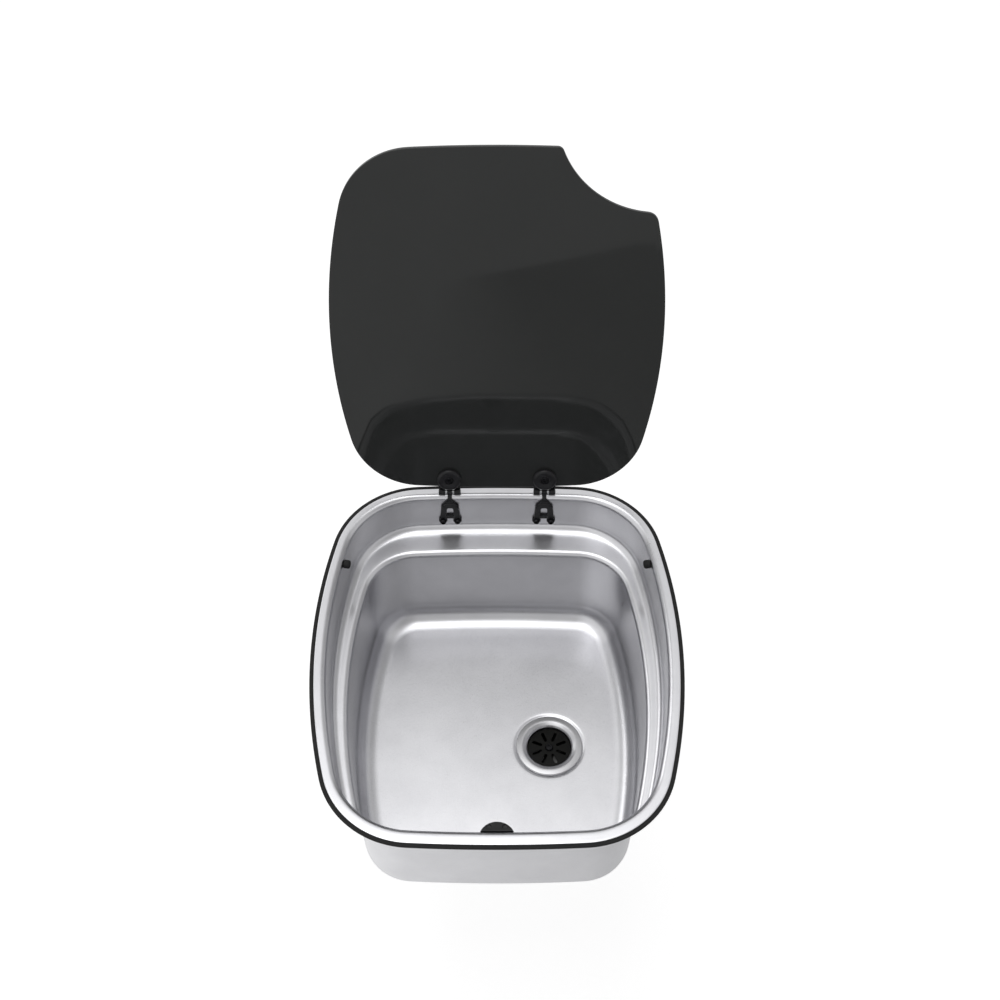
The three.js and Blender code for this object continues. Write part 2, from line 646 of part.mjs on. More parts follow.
// An A-shaped bracket on the recess wall, with a neck that rises round the rim's shoulder to a barrel.
function hingeBase(centreX) {
  const near = backY(recessInset(-RECESS_DEPTH), centreX) - BRACKET_THICKNESS * 3;
  const far = backY(0, centreX);
  const apexZ = -BRACKET_TOP - LEG_RADIUS;
  const bars = [-1, 1].flatMap((side) => {
    const apex = [centreX + side * (FLARE_WIDTH / 2 - LEG_RADIUS), apexZ];
    const hip = [centreX + (side * HIP_SPREAD) / 2, -HIP_DROP];
    const foot = [centreX + (side * FOOT_SPREAD) / 2, -FOOT_DROP];
    return [link(apex, hip, LEG_RADIUS), link(hip, foot, LEG_RADIUS)];
  }).map((outlineOfBar) => prism('y', outlineOfBar, near, far));
  const pads = bracketFeet(centreX).map((x) => bar('y', FOOT_RADIUS, near, far, [x, -FOOT_DROP]));
  const web = prism('y', [
    [centreX - HIP_SPREAD / 2, -HIP_DROP],
    [centreX + HIP_SPREAD / 2, -HIP_DROP],
    [centreX + FLARE_WIDTH / 2, -BRACKET_TOP],
    [centreX - FLARE_WIDTH / 2, -BRACKET_TOP],
  ], near, far);
  const crossbar = new THREE.Vector2(FOOT_SPREAD / 2, CROSSBAR_HEIGHT / 2);
  const tie = prism('y', [
    [centreX - crossbar.x, -CROSSBAR_DROP - crossbar.y],
    [centreX + crossbar.x, -CROSSBAR_DROP - crossbar.y],
    [centreX + crossbar.x, -CROSSBAR_DROP + crossbar.y],
    [centreX - crossbar.x, -CROSSBAR_DROP + crossbar.y],
  ], near, far);
  const shoulderY = backY(SHOULDER_INSET, centreX);
  const shoulderZ = rimTop - SHOULDER_RADIUS;
  const plate = join(...bars, ...pads, web, tie)
    .intersect(recessRoom(SEAT))
    .subtract(recessRoom(SEAT + BRACKET_THICKNESS));

  const inner = SHOULDER_RADIUS + SEAT;
  const outer = inner + NECK_THICKNESS;
  const towardPivot = Math.atan2(pivotZ - shoulderZ, pivotY - shoulderY);
  const neckOutline = [
    ...arcPoints([shoulderY, shoulderZ], inner, Math.PI, towardPivot, BEND_STEPS * 2),
    ...arcPoints([shoulderY, shoulderZ], outer, towardPivot, Math.PI, BEND_STEPS * 2),
    [shoulderY - outer, -HIP_DROP],
    [shoulderY - inner, -HIP_DROP],
  ];
  const flare = prism('y', [
    [centreX - FLARE_WIDTH / 2, -HIP_DROP],
    [centreX + FLARE_WIDTH / 2, -HIP_DROP],
    [centreX + FLARE_WIDTH / 2, -BRACKET_TOP],
    [centreX + NECK_WIDTH / 2, FLARE_TOP],
    [centreX + NECK_WIDTH / 2, pivotZ],
    [centreX - NECK_WIDTH / 2, pivotZ],
    [centreX - NECK_WIDTH / 2, FLARE_TOP],
    [centreX - FLARE_WIDTH / 2, -BRACKET_TOP],
  ], near, far);
  const neck = prism('x', neckOutline, centreX - FLARE_WIDTH / 2, centreX + FLARE_WIDTH / 2)
    .intersect(flare)
    .intersect(recessRoom(SEAT));
  const barrel = bar(
    'x', BARREL_RADIUS, centreX - BARREL_WIDTH / 2, centreX + BARREL_WIDTH / 2, [pivotY, pivotZ],
  );
  const screwHoles = bracketFeet(centreX).map((x) => bar(
    'y', BRACKET_SCREW_RADIUS + SCREW_CLEARANCE, near, far, [x, -FOOT_DROP],
  ));
  return cut(join(plate, neck, barrel), pinHole(centreX), ...screwHoles);
}

function bracketScrew(x) {
  const wall = backY(recessInset(-FOOT_DROP), x);
  const seat = wall - SEAT * 2 - BRACKET_THICKNESS - SCREW_CLEARANCE;
  const tip = wall + SHEET + SEAT * 2 + NUT_HEIGHT + SEAT;
  const centre = [x, -FOOT_DROP];
  const shank = bar('y', BRACKET_SCREW_RADIUS, seat - BRACKET_HEAD_HEIGHT / 2, tip, centre);
  const crown = BRACKET_HEAD_RADIUS * HEAD_TAPER;
  const head = bar(
    'y', crown, seat - BRACKET_HEAD_HEIGHT, seat, centre, SMALL_STEPS, BRACKET_HEAD_RADIUS,
  );
  return join(shank, head);
}

function bracketNut(x) {
  const start = backY(recessInset(-FOOT_DROP), x) + SHEET + SEAT * 2;
  const centre = [x, -FOOT_DROP];
  const hexagon = bar('y', NUT_RADIUS, start, start + NUT_HEIGHT, centre, 6);
  const thread = bar('y', BRACKET_SCREW_RADIUS + SEAT, start - SEAT, start + NUT_HEIGHT + SEAT, centre);
  return cut(hexagon, thread);
}

// Heights of what is clamped on the glass, from its underside down and from its top face up.
const padTop = -SEAT;
const discTop = padTop - PAD_THICKNESS - SEAT;
const discFoot = discTop - CLAMP_DISC_THICKNESS;
const rearPadFoot = GLASS_THICKNESS + SEAT;
const leafFoot = rearPadFoot + PAD_THICKNESS + SEAT;
const leafTop = leafFoot + LEAF_THICKNESS;
const clampY = pivotY - CLAMP_SETBACK;
const clampSlot = CLAMP_SCREW_RADIUS + SCREW_CLEARANCE;

function clampPad(centreX, foot) {
  const centre = [centreX, clampY];
  const disc = bar('z', CLAMP_RADIUS - SEAT, foot, foot + PAD_THICKNESS, centre, LARGE_STEPS);
  return cut(disc, bar('z', clampSlot, foot - SEAT, foot + PAD_THICKNESS + SEAT, centre));
}

// The round disc under the glass, with a bevelled edge and a counterbore for the screw's head.
function clampDisc(centreX) {
  const centre = [centreX, clampY];
  const bevel = CLAMP_DISC_THICKNESS / 3;
  const face = bar(
    'z', CLAMP_RADIUS - bevel, discFoot, discFoot + bevel, centre, LARGE_STEPS, CLAMP_RADIUS,
  );
  const rim = bar('z', CLAMP_RADIUS, discFoot + bevel, discTop, centre, LARGE_STEPS);
  const counterbore = bar(
    'z', CLAMP_HEAD_RADIUS + SCREW_CLEARANCE, discFoot - SEAT, discFoot + CLAMP_HEAD_HEIGHT + SEAT, centre,
  );
  return cut(join(face, rim), counterbore, bar('z', clampSlot, discFoot, discTop + SEAT, centre));
}

function clampScrew(centreX) {
  const centre = [centreX, clampY];
  const head = bar('z', CLAMP_HEAD_RADIUS, discFoot, discFoot + CLAMP_HEAD_HEIGHT, centre);
  const shank = bar(
    'z', CLAMP_SCREW_RADIUS, discFoot + CLAMP_HEAD_HEIGHT / 2, leafTop - SEAT * 2, centre,
  );
  return join(head, shank);
}

// The lid's half of the hinge: a round pad on the glass and two arms that end in knuckles. Each
// knuckle has a heel, whose flat meets the rim when the lid is open.
function hingeLeaf(centreX) {
  const centre = [centreX, clampY];
  const pad = bar('z', CLAMP_RADIUS, leafFoot, leafTop, centre, LARGE_STEPS);
  const blindHole = bar('z', clampSlot, leafFoot - SEAT, leafTop - SEAT, centre);
  const intoPad = clampY + CLAMP_RADIUS / 2;
  const opened = (y, z) => [
    pivotY + y * Math.cos(openAngle) - z * Math.sin(openAngle),
    pivotZ + y * Math.sin(openAngle) + z * Math.cos(openAngle),
  ];
  const arms = [-1, 1].map((side) => {
    const inner = centreX + side * knuckleOffset;
    const outer = inner + side * KNUCKLE_WIDTH;
    const start = Math.min(inner, outer);
    const end = Math.max(inner, outer);
    const arm = prism('x', [
      [intoPad, leafFoot],
      [pivotY, leafFoot],
      [pivotY, pivotZ + knuckleRadius],
      [intoPad, leafTop],
    ], start, end);
    const knuckle = bar('x', knuckleRadius, start, end, [pivotY, pivotZ]);
    const heel = prism('x', [
      opened(0, 0),
      opened(0, -knuckleRadius),
      opened(STOP_REACH, -knuckleRadius),
      opened(STOP_REACH, 0),
    ], start, end);
    return join(arm, knuckle, heel);
  });
  return cut(join(pad, ...arms), blindHole, pinHole(centreX));
}

// ---- What the closed lid lands on ----

// A push-in rubber buffer, drawn along X with the wall's inner face at x = 0. The head stands off by
// two seats, because the wall is faceted and its flats lie inside its true curve.
function lidBuffer() {
  const centre = [0, 0];
  const dome = BUFFER_REACH / 4;
  const head = bar('x', BUFFER_RADIUS, dome - BUFFER_REACH, -SEAT * 2, centre);
  const tip = bar(
    'x', BUFFER_RADIUS - dome, -BUFFER_REACH, dome - BUFFER_REACH, centre, SMALL_STEPS, BUFFER_RADIUS,
  );
  const tailStart = SHEET + BUFFER_TAIL_STANDOFF;
  const stem = bar('x', BUFFER_STEM_RADIUS, -BUFFER_REACH / 2, tailStart + SEAT, centre);
  const tail = bar(
    'x', BUFFER_TAIL_RADIUS, tailStart, tailStart + BUFFER_TAIL_LENGTH, centre, SMALL_STEPS,
    BUFFER_STEM_RADIUS,
  );
  return join(tip, head, stem, tail);
}

// A half-moon support with two shallow dimples, held by two screws from behind the recess wall.
function frontLidRest() {
  const wall = frontY(wallTopInset, 0);
  const radius = ((REST_WIDTH / 2) ** 2 + REST_REACH ** 2) / (2 * REST_REACH);
  const centre = [0, wall + REST_REACH - radius];
  const top = -SEAT;
  const block = bar('z', radius, top - REST_HEIGHT, top, centre, LARGE_STEPS)
    .intersect(recessRoom(SEAT));
  const tools = restScrewPlaces().map((x) => bar(
    'y', REST_SCREW_RADIUS + SCREW_CLEARANCE, wall - REST_REACH, wall + REST_SCREW_LENGTH,
    [x, -REST_SCREW_DROP],
  ));
  for (const x of restScrewPlaces()) {
    tools.push(bar(
      'z', REST_DIMPLE_RADIUS, top - REST_DIMPLE_DEPTH, SEAT, [x, wall + REST_REACH / 2 - SEAT],
    ));
  }
  return cut(block, ...tools);
}

function restScrew(x) {
  const wall = frontY(recessInset(-REST_SCREW_DROP), x) - SHEET - SEAT;
  const centre = [x, -REST_SCREW_DROP];
  const tip = wall + SHEET + REST_SCREW_LENGTH - SEAT;
  const shank = bar('y', REST_SCREW_RADIUS, wall - REST_HEAD_HEIGHT / 2, tip, centre);
  const head = bar('y', REST_HEAD_RADIUS, wall - REST_HEAD_HEIGHT, wall, centre);
  return join(shank, head);
}

// ---- Waste, drawn about its own axis ----

const flangeFoot = dishFloor + SEAT + FLOOR_SEAL_THICKNESS + SEAT;
const flangeTop = flangeFoot + FLANGE_THICKNESS;
const skirtFoot = flangeTop - SKIRT_DEPTH;
const skirtRadius = FLANGE_BORE_RADIUS + FLANGE_THICKNESS;
const strainerFoot = skirtFoot + FLANGE_THICKNESS + SEAT;
const strainerTop = strainerFoot + STRAINER_THICKNESS;
const hubFoot = strainerFoot - HUB_LENGTH;
const bossTop = hubFoot - SEAT;
const bossFoot = bossTop - BOSS_LENGTH;
const bodySealTop = dishFloor - SHEET - SEAT;
const bodyTop = bodySealTop - BODY_SEAL_THICKNESS - SEAT;
const cupRadius = skirtRadius + SEAT * 2;
const cupFoot = bodyTop - CUP_DEPTH;
const spigotTop = cupFoot - CUP_CONE;
const spigotFoot = spigotTop - SPIGOT_LENGTH;

function drainFlange() {
  return turned([
    [FLANGE_RADIUS, flangeFoot],
    [FLANGE_RADIUS, flangeTop - FLANGE_FALL],
    [FLANGE_CROWN_RADIUS, flangeTop],
    [FLANGE_MOUTH_RADIUS, flangeTop],
    [skirtRadius, flangeTop - FLANGE_THROAT_DROP],
    [FLANGE_BORE_RADIUS, flangeTop - FLANGE_BORE_DROP],
    [FLANGE_BORE_RADIUS, skirtFoot + FLANGE_THICKNESS],
    [FLANGE_BORE_RADIUS - FLANGE_LIP, skirtFoot + FLANGE_THICKNESS],
    [FLANGE_BORE_RADIUS - FLANGE_LIP, skirtFoot],
    [skirtRadius, skirtFoot],
    [skirtRadius, flangeFoot - FLANGE_THROAT_DROP],
    [DRAIN_HOLE_RADIUS - SEAT, flangeFoot - FLANGE_UNDERSIDE_DROP],
    [DRAIN_HOLE_RADIUS + FLANGE_THICKNESS, flangeFoot],
  ]);
}

function sealRing(inner, outer, top, thickness) {
  return turned([[inner, top - thickness], [outer, top - thickness], [outer, top], [inner, top]]);
}

function drainStrainer() {
  const plate = bar(
    'z', FLANGE_BORE_RADIUS - SEAT, strainerFoot, strainerTop, [0, 0], LARGE_STEPS,
  );
  const hub = bar('z', HUB_RADIUS, hubFoot, strainerTop, [0, 0]);
  const slots = [];
  for (let i = 0; i < SLOT_COUNT; i += 1) {
    const angle = ((i + 0.5) * 2 * Math.PI) / SLOT_COUNT;
    const at = (radius) => [radius * Math.cos(angle), radius * Math.sin(angle)];
    const rounding = SLOT_WIDTH / 2;
    const slot = link(at(SLOT_INNER + rounding), at(SLOT_OUTER - rounding), rounding);
    slots.push(prism('z', slot, strainerFoot - SEAT, strainerTop + SEAT));
  }
  const screwHole = bar(
    'z', DRAIN_SCREW_RADIUS + SCREW_CLEARANCE, hubFoot - SEAT, strainerTop + SEAT, [0, 0],
  );
  return cut(join(plate, hub), ...slots, screwHole);
}

function drainScrew() {
  const seat = strainerTop + SEAT;
  const crown = DRAIN_HEAD_RADIUS * HEAD_TAPER;
  const head = bar(
    'z', DRAIN_HEAD_RADIUS, seat, seat + DRAIN_HEAD_HEIGHT, [0, 0], SMALL_STEPS, crown,
  );
  return join(head, bar('z', DRAIN_SCREW_RADIUS, bossFoot + SEAT, seat + SEAT, [0, 0]));
}

// A flanged cup with a spider that takes the screw, running down into a barbed hose spigot.
function wasteBody() {
  const cupOutside = cupRadius + CUP_WALL;
  const barbs = [];
  for (let i = 0; i < BARB_COUNT; i += 1) {
    const foot = spigotFoot + BARB_PITCH * i;
    barbs.push([SPIGOT_RADIUS + BARB_HEIGHT, foot + BARB_PITCH / 2]);
    barbs.push([SPIGOT_RADIUS, foot + BARB_PITCH / 2 + BARB_HEIGHT]);
    barbs.push([SPIGOT_RADIUS, foot + BARB_PITCH]);
  }
  const walls = turned([
    [cupRadius, bodyTop],
    [cupRadius, cupFoot],
    [SPIGOT_RADIUS - SPIGOT_WALL, spigotTop],
    [SPIGOT_RADIUS - SPIGOT_WALL, spigotFoot],
    [SPIGOT_RADIUS, spigotFoot],
    ...barbs,
    [SPIGOT_RADIUS, spigotTop - SPIGOT_WALL],
    [cupOutside, cupFoot - SPIGOT_WALL],
    [cupOutside, bodyTop - BODY_FLANGE_THICKNESS],
    [BODY_FLANGE_RADIUS, bodyTop - BODY_FLANGE_THICKNESS],
    [BODY_FLANGE_RADIUS, bodyTop],
  ]);
  const boss = bar('z', HUB_RADIUS, bossFoot, bossTop, [0, 0]);
  const ribs = [];
  for (let i = 0; i < RIB_COUNT; i += 1) {
    const angle = (i * 2 * Math.PI) / RIB_COUNT;
    const across = [-Math.sin(angle) * (RIB_WIDTH / 2), Math.cos(angle) * (RIB_WIDTH / 2)];
    const reach = cupRadius + CUP_WALL / 2;
    const out = [Math.cos(angle) * reach, Math.sin(angle) * reach];
    ribs.push(prism('z', [
      [-across[0], -across[1]],
      [out[0] - across[0], out[1] - across[1]],
      [out[0] + across[0], out[1] + across[1]],
      [across[0], across[1]],
    ], bossTop - RIB_HEIGHT, bossTop));
  }
  const thread = bar('z', DRAIN_SCREW_RADIUS + SEAT, bossFoot - SEAT, bossTop + SEAT, [0, 0]);
  return cut(join(walls, boss, ...ribs), thread);
}

// ---- Assembly ----

function finish(color, roughness, metalness) {
  return () => new THREE.MeshStandardMaterial({ color, roughness, metalness });
}

const brushedSteel = finish(0xb9bac0, 0.28, 1);
const zincSteel = finish(0xa9abb0, 0.35, 1);
const blackPlastic = finish(0x141416, 0.45, 0);
const blackRubber = finish(0x18181a, 0.8, 0);
const tintedGlass = finish(0x2e3030, 0.06, 0);

function piece(name, solid, material) {
  const mesh = new THREE.Mesh(geometryFrom(solid), material());
  mesh.name = name;
  return mesh;
}

const sink = new THREE.Group();
sink.add(piece('basin', basin(), brushedSteel));
sink.add(piece('rim_gasket', rimGasket(), blackRubber));

// The lid turns about the hinge line: its group holds it closed, and the turn opens it.
const lid = new THREE.Group();
lid.position.set(0, pivotY, pivotZ);
lid.rotation.x = -openAngle;
const lidDrawing = new THREE.Group();
lidDrawing.position.set(0, -pivotY, -pivotZ);
lid.add(lidDrawing);
sink.add(lid);
lidDrawing.add(piece('glass_lid', glassLid(), tintedGlass));

for (const [side, sign] of [['left', -1], ['right', 1]]) {
  const centreX = (sign * HINGE_SPACING) / 2;
  sink.add(piece(`${side}_hinge_base`, hingeBase(centreX), blackPlastic));
  sink.add(piece(`${side}_hinge_pin`, hingePin(centreX), zincSteel));
  bracketFeet(centreX).forEach((x, index) => {
    sink.add(piece(`${side}_hinge_screw_${index + 1}`, bracketScrew(x), blackPlastic));
    sink.add(piece(`${side}_hinge_nut_${index + 1}`, bracketNut(x), zincSteel));
  });
  lidDrawing.add(piece(`${side}_hinge_leaf`, hingeLeaf(centreX), blackPlastic));
  lidDrawing.add(piece(`${side}_hinge_front_pad`, clampPad(centreX, padTop - PAD_THICKNESS), blackRubber));
  lidDrawing.add(piece(`${side}_hinge_rear_pad`, clampPad(centreX, rearPadFoot), blackRubber));
  lidDrawing.add(piece(`${side}_hinge_clamp_disc`, clampDisc(centreX), blackPlastic));
  lidDrawing.add(piece(`${side}_hinge_clamp_screw`, clampScrew(centreX), blackPlastic));

  const seat = bufferSeat();
  const buffer = piece(`${side}_lid_buffer`, lidBuffer(), blackRubber);
  buffer.position.set(sign * seat.x, seat.y, seat.z);
  buffer.rotation.z = sign > 0 ? seat.angle : Math.PI - seat.angle;
  sink.add(buffer);
}

sink.add(piece('front_lid_rest', frontLidRest(), blackPlastic));
restScrewPlaces().forEach((x, index) => {
  sink.add(piece(`front_rest_screw_${index + 1}`, restScrew(x), zincSteel));
});

const waste = new THREE.Group();
waste.position.set(DRAIN_X, DRAIN_Y, 0);
waste.add(piece('drain_flange', drainFlange(), brushedSteel));
waste.add(piece('drain_floor_seal', sealRing(
  DRAIN_HOLE_RADIUS + SEAT * 2, FLANGE_RADIUS - FLOOR_SEAL_COVER,
  dishFloor + SEAT + FLOOR_SEAL_THICKNESS, FLOOR_SEAL_THICKNESS,
), blackRubber));
waste.add(piece('drain_body_seal', sealRing(
  DRAIN_HOLE_RADIUS + SEAT, BODY_FLANGE_RADIUS - SEAT, bodySealTop, BODY_SEAL_THICKNESS,
), blackRubber));
waste.add(piece('drain_strainer', drainStrainer(), blackPlastic));
waste.add(piece('drain_screw', drainScrew(), blackPlastic));
waste.add(piece('waste_body', wasteBody(), blackPlastic));
sink.add(waste);

export default sink;
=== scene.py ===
"""Looks for an inset camper sink with a hinged glass lid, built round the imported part.

Metres in Blender; sizes below are millimetres, +Z up, with the origin at the centre of the
worktop cut-out, at the level of the worktop's top face.
"""

import json
from math import asin, atan2, cos, hypot, pi, radians, sin, sqrt, tan

import bmesh
import bpy
from mathutils import Matrix, Vector


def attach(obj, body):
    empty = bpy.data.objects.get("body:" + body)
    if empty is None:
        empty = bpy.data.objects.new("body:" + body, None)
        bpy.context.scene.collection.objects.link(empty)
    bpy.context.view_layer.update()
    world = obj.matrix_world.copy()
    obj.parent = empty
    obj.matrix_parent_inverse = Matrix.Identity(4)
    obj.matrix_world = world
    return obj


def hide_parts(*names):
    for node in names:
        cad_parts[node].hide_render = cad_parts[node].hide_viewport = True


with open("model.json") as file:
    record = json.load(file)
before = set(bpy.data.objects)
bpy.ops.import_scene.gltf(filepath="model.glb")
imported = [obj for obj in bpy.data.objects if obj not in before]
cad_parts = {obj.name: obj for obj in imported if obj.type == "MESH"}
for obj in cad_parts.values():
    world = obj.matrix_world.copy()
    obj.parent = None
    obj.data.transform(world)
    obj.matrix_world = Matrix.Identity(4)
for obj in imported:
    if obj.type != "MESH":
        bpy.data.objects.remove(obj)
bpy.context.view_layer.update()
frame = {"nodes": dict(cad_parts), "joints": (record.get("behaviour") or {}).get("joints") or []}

MM = 0.001

# ---- Sizes, in millimetres ----

SEAT = 0.3  # gap between two pieces that touch
SHEET = 0.8  # thickness of the pressed steel
RIM_WIDTH = 370.0
RIM_DEPTH = 420.0
RIM_SIDE_RADIUS = 587.0
RIM_END_RADIUS = 1690.0
RIM_CORNER_RADIUS = 92.3
RIM_TOP = 2.1
SHOULDER_INSET = 9.6
FRONT_EXTRA = 3.2  # more inset at the front, where the rim is widest
SHOULDER_RADIUS = 6.2
RECESS_DEPTH = 50.0
RECESS_DRAFT = 1.2
RECESS_FOOT_HEIGHT = 10.0  # of the fillet between the recess wall and the ledge
RECESS_FOOT_FRONT = 3.0  # how far that fillet reaches in, at each side
RECESS_FOOT_SIDE = 8.0
RECESS_FOOT_BACK = 13.0
LEDGE_CORNER_RADIUS = 60.0
BOWL_WIDTH = 300.0
BOWL_FRONT = -180.0
BOWL_BACK = 157.5
BOWL_SIDE_RADIUS = 551.0
BOWL_END_RADIUS = 1650.0
BOWL_CORNER_RADIUS = 52.0
BOWL_EDGE_RADIUS = 6.0
BOWL_DRAFT = 3.0
BOWL_DEPTH = 162.0
BOWL_FILLET = 22.0

GASKET_THICKNESS = 1.0
GASKET_LIP_WIDTH = 3.8
GASKET_BEARING = 10.0
GASKET_ROUNDING = 0.35

GLASS_THICKNESS = 5.0
GLASS_ARRIS = 0.9
LID_INSET = 19.1
LID_BACK_EXTRA = 2.0  # more inset at the hinges
TAP_CENTRE = (153.9, -220.4)
TAP_RADIUS = 97.5
TAP_FRONT_ROUNDING = 7.0
TAP_SIDE_ROUNDING = 12.0

HINGE_SPACING = 100.0
PIN_RADIUS = 2.0
BARREL_RADIUS = 3.6
BARREL_WIDTH = 5.4
BARE_PIN = 1.8  # between the barrel and each knuckle
KNUCKLE_WIDTH = 6.6
KNUCKLE_RADIUS = 3.95
PIN_OVERHANG = 0.6
STOP_REACH = 3.0
NECK_THICKNESS = 2.2
NECK_WIDTH = 4.4
FLARE_TOP = 0.6  # above the worktop, where the neck starts to widen
FLARE_WIDTH = 12.0
BRACKET_THICKNESS = 3.0
BRACKET_TOP = 6.5
HIP_DROP = 13.0  # where the legs stop spreading fast
HIP_SPREAD = 12.4
FOOT_DROP = 34.6
FOOT_SPREAD = 15.4
FOOT_RADIUS = 4.6
FOOT_ROUNDING = 0.9
LEG_RADIUS = 3.1
CROSSBAR_DROP = 29.0
CROSSBAR_HEIGHT = 5.0
CROSSBAR_SETBACK = 0.7
CLAMP_RADIUS = 12.3
CLAMP_SETBACK = 20.2
CLAMP_DISC_THICKNESS = 3.4
CLAMP_BEVEL = ((2.6, 0.0, 0.6), (1.1, 0.5, 0.8), (0.0, 1.6, 0.6))  # inwards, upwards, rounding
CLAMP_MOUTH_RISE = 0.35
CLAMP_WELL_DEPTH = 1.9
CLAMP_BORE_RADIUS = 2.6
CLAMP_HEAD_RADIUS = 4.2
CLAMP_HEAD_FLAT = 0.8  # share of a head's radius that is flat
CLAMP_HEAD_BEVEL = 0.6
CLAMP_HEAD_HEIGHT = 1.5
CLAMP_HEAD_SUNK = 0.1
CLAMP_SOCKET = (1.9, 1.0, 0.1)  # a socket's radius at its foot, its depth and its rounding
CLAMP_SCREW_RADIUS = 2.25
SOCKET_TAPER = 0.2
LEAF_THICKNESS = 3.0
PAD_THICKNESS = 1.0
BRACKET_HEAD_RADIUS = 3.6
BRACKET_HEAD_HEIGHT = 2.2
BRACKET_HEAD_FLAT = 0.72
BRACKET_SOCKET = (1.5, 1.3, 0.15)
BRACKET_SCREW_RADIUS = 1.6
NUT_RADIUS = 4.0
NUT_HEIGHT = 3.2
OVERCUT = 1.0  # how far a cutting tool runs past what it cuts

BUFFER_Y = 113.0
BUFFER_RADIUS = 4.5
BUFFER_REACH = 7.0
BUFFER_STEM_RADIUS = 1.6
BUFFER_TAIL_RADIUS = 2.5
BUFFER_TAIL_STANDOFF = 0.6
BUFFER_TAIL_LENGTH = 2.0
REST_WIDTH = 31.0
REST_REACH = 9.8
REST_HEIGHT = 9.0
REST_DIMPLE_RADIUS = 2.6
REST_DIMPLE_DEPTH = 1.5
REST_SCREW_SPREAD = 15.0

DRAIN_X = 55.5
DRAIN_Y = -13.0
DISH_RADIUS = 38.0
DISH_SLOPE = 2.5
DISH_DEPTH = 1.2
DISH_BEND = 5.5
DISH_LEAD = 4.0
DISH_FACE_SHIFT = 0.4  # of the sheet's thickness, outwards on the lower face
DRAIN_HOLE_RADIUS = 27.0
FLANGE_RADIUS = 35.0
FLANGE_THICKNESS = 1.0
FLANGE_CROWN_RADIUS = 30.0
FLANGE_FALL = 0.4  # from the crown to the outer edge
FLANGE_EDGE_THICKNESS = 0.7  # of the edge turned down over the seal
FLANGE_EDGE_GAP = 0.1
FLANGE_MOUTH_RADIUS = 28.5
FLANGE_THROAT_STEP = 0.6
FLANGE_THROAT_DROP = 1.6
FLANGE_BORE_RADIUS = 23.3
FLANGE_BORE_DROP = 3.2
FLANGE_NECK_DROP = 1.8
FLANGE_SEAT_DROP = 0.4
FLANGE_LIP = 2.8
SKIRT_DEPTH = 9.4
FLOOR_SEAL_THICKNESS = 0.6
BODY_SEAL_THICKNESS = 1.2
STRAINER_THICKNESS = 2.2
SLOT_COUNT = 8
SLOT_WIDTH = 3.4
SLOT_INNER = 8.0
SLOT_OUTER = 19.5
HUB_RADIUS = 5.2
HUB_LENGTH = 6.8
DRAIN_HEAD_RADIUS = 4.6
DRAIN_HEAD_HEIGHT = 2.0
DRAIN_HEAD_FLAT = 0.7
DRAIN_SOCKET = (1.7, -1.1, 0.1)  # its head faces up
DRAIN_SCREW_RADIUS = 2.2
BOSS_LENGTH = 11.0
RIB_COUNT = 3
RIB_HEIGHT = 7.0
RIB_HALF_THICKNESS = 1.2
BODY_FLANGE_RADIUS = 33.5
BODY_FLANGE_THICKNESS = 2.4
CUP_WALL = 2.2
CUP_DEPTH = 16.0
CUP_CONE = 8.0
CUP_ROUNDING = 0.25
SPIGOT_RADIUS = 14.0
SPIGOT_WALL = 2.2
SPIGOT_LENGTH = 30.2
BARB_COUNT = 3
BARB_HEIGHT = 1.0
BARB_PITCH = 7.0

# Facets of the fine meshes.
SIDE_STEPS = 14
CORNER_STEPS = 20
END_STEPS = 8
BEND_STEPS = 10
TURN_STEPS = 96
SMALL_TURN_STEPS = 48
RIM_EDGE_STEPS = 6
RIM_FLAT_STEPS = 4
FACE_STEPS = (6, 4, 10, 10)  # down the recess wall, the ledge, the bowl's wall and its floor
ARRIS_STEPS = 5
NECK_STEPS = 24
REST_FRONT_STEPS = 40
REST_BACK_STEPS = 12
DIMPLE_STEPS = 40
VOXEL = 0.3
SMOOTHING_ROUNDS = 6

# ---- Places worked out from the frame and the sizes ----

joint = frame["joints"][0]
PIVOT_Y = joint["pos_m"][1] / MM
PIVOT_Z = joint["pos_m"][2] / MM
OPEN_ANGLE = radians(joint["range_deg"][1])
LID_OPEN = (
    Matrix.Translation((0, PIVOT_Y, PIVOT_Z))
    @ Matrix.Rotation(-OPEN_ANGLE, 4, "X")
    @ Matrix.Translation((0, -PIVOT_Y, -PIVOT_Z))
)


# ---- Plan outlines ----

def arc_points(centre, radius, start, end, steps):
    angles = [start + (end - start) * i / steps for i in range(steps + 1)]
    return [(centre[0] + radius * cos(a), centre[1] + radius * sin(a)) for a in angles]


def circles_meet(first, first_radius, second, second_radius):
    """Where two circles meet, on the right-hand side of the line from the first centre to the second."""
    dx, dy = second[0] - first[0], second[1] - first[1]
    between = hypot(dx, dy)
    along = (first_radius ** 2 - second_radius ** 2 + between ** 2) / (2 * between)
    across = sqrt(first_radius ** 2 - along ** 2)
    ux, uy = dx / between, dy / between
    return (first[0] + ux * along + uy * across, first[1] + uy * along - ux * across)


def angle_from(centre, point):
    return atan2(point[1] - centre[1], point[0] - centre[0])


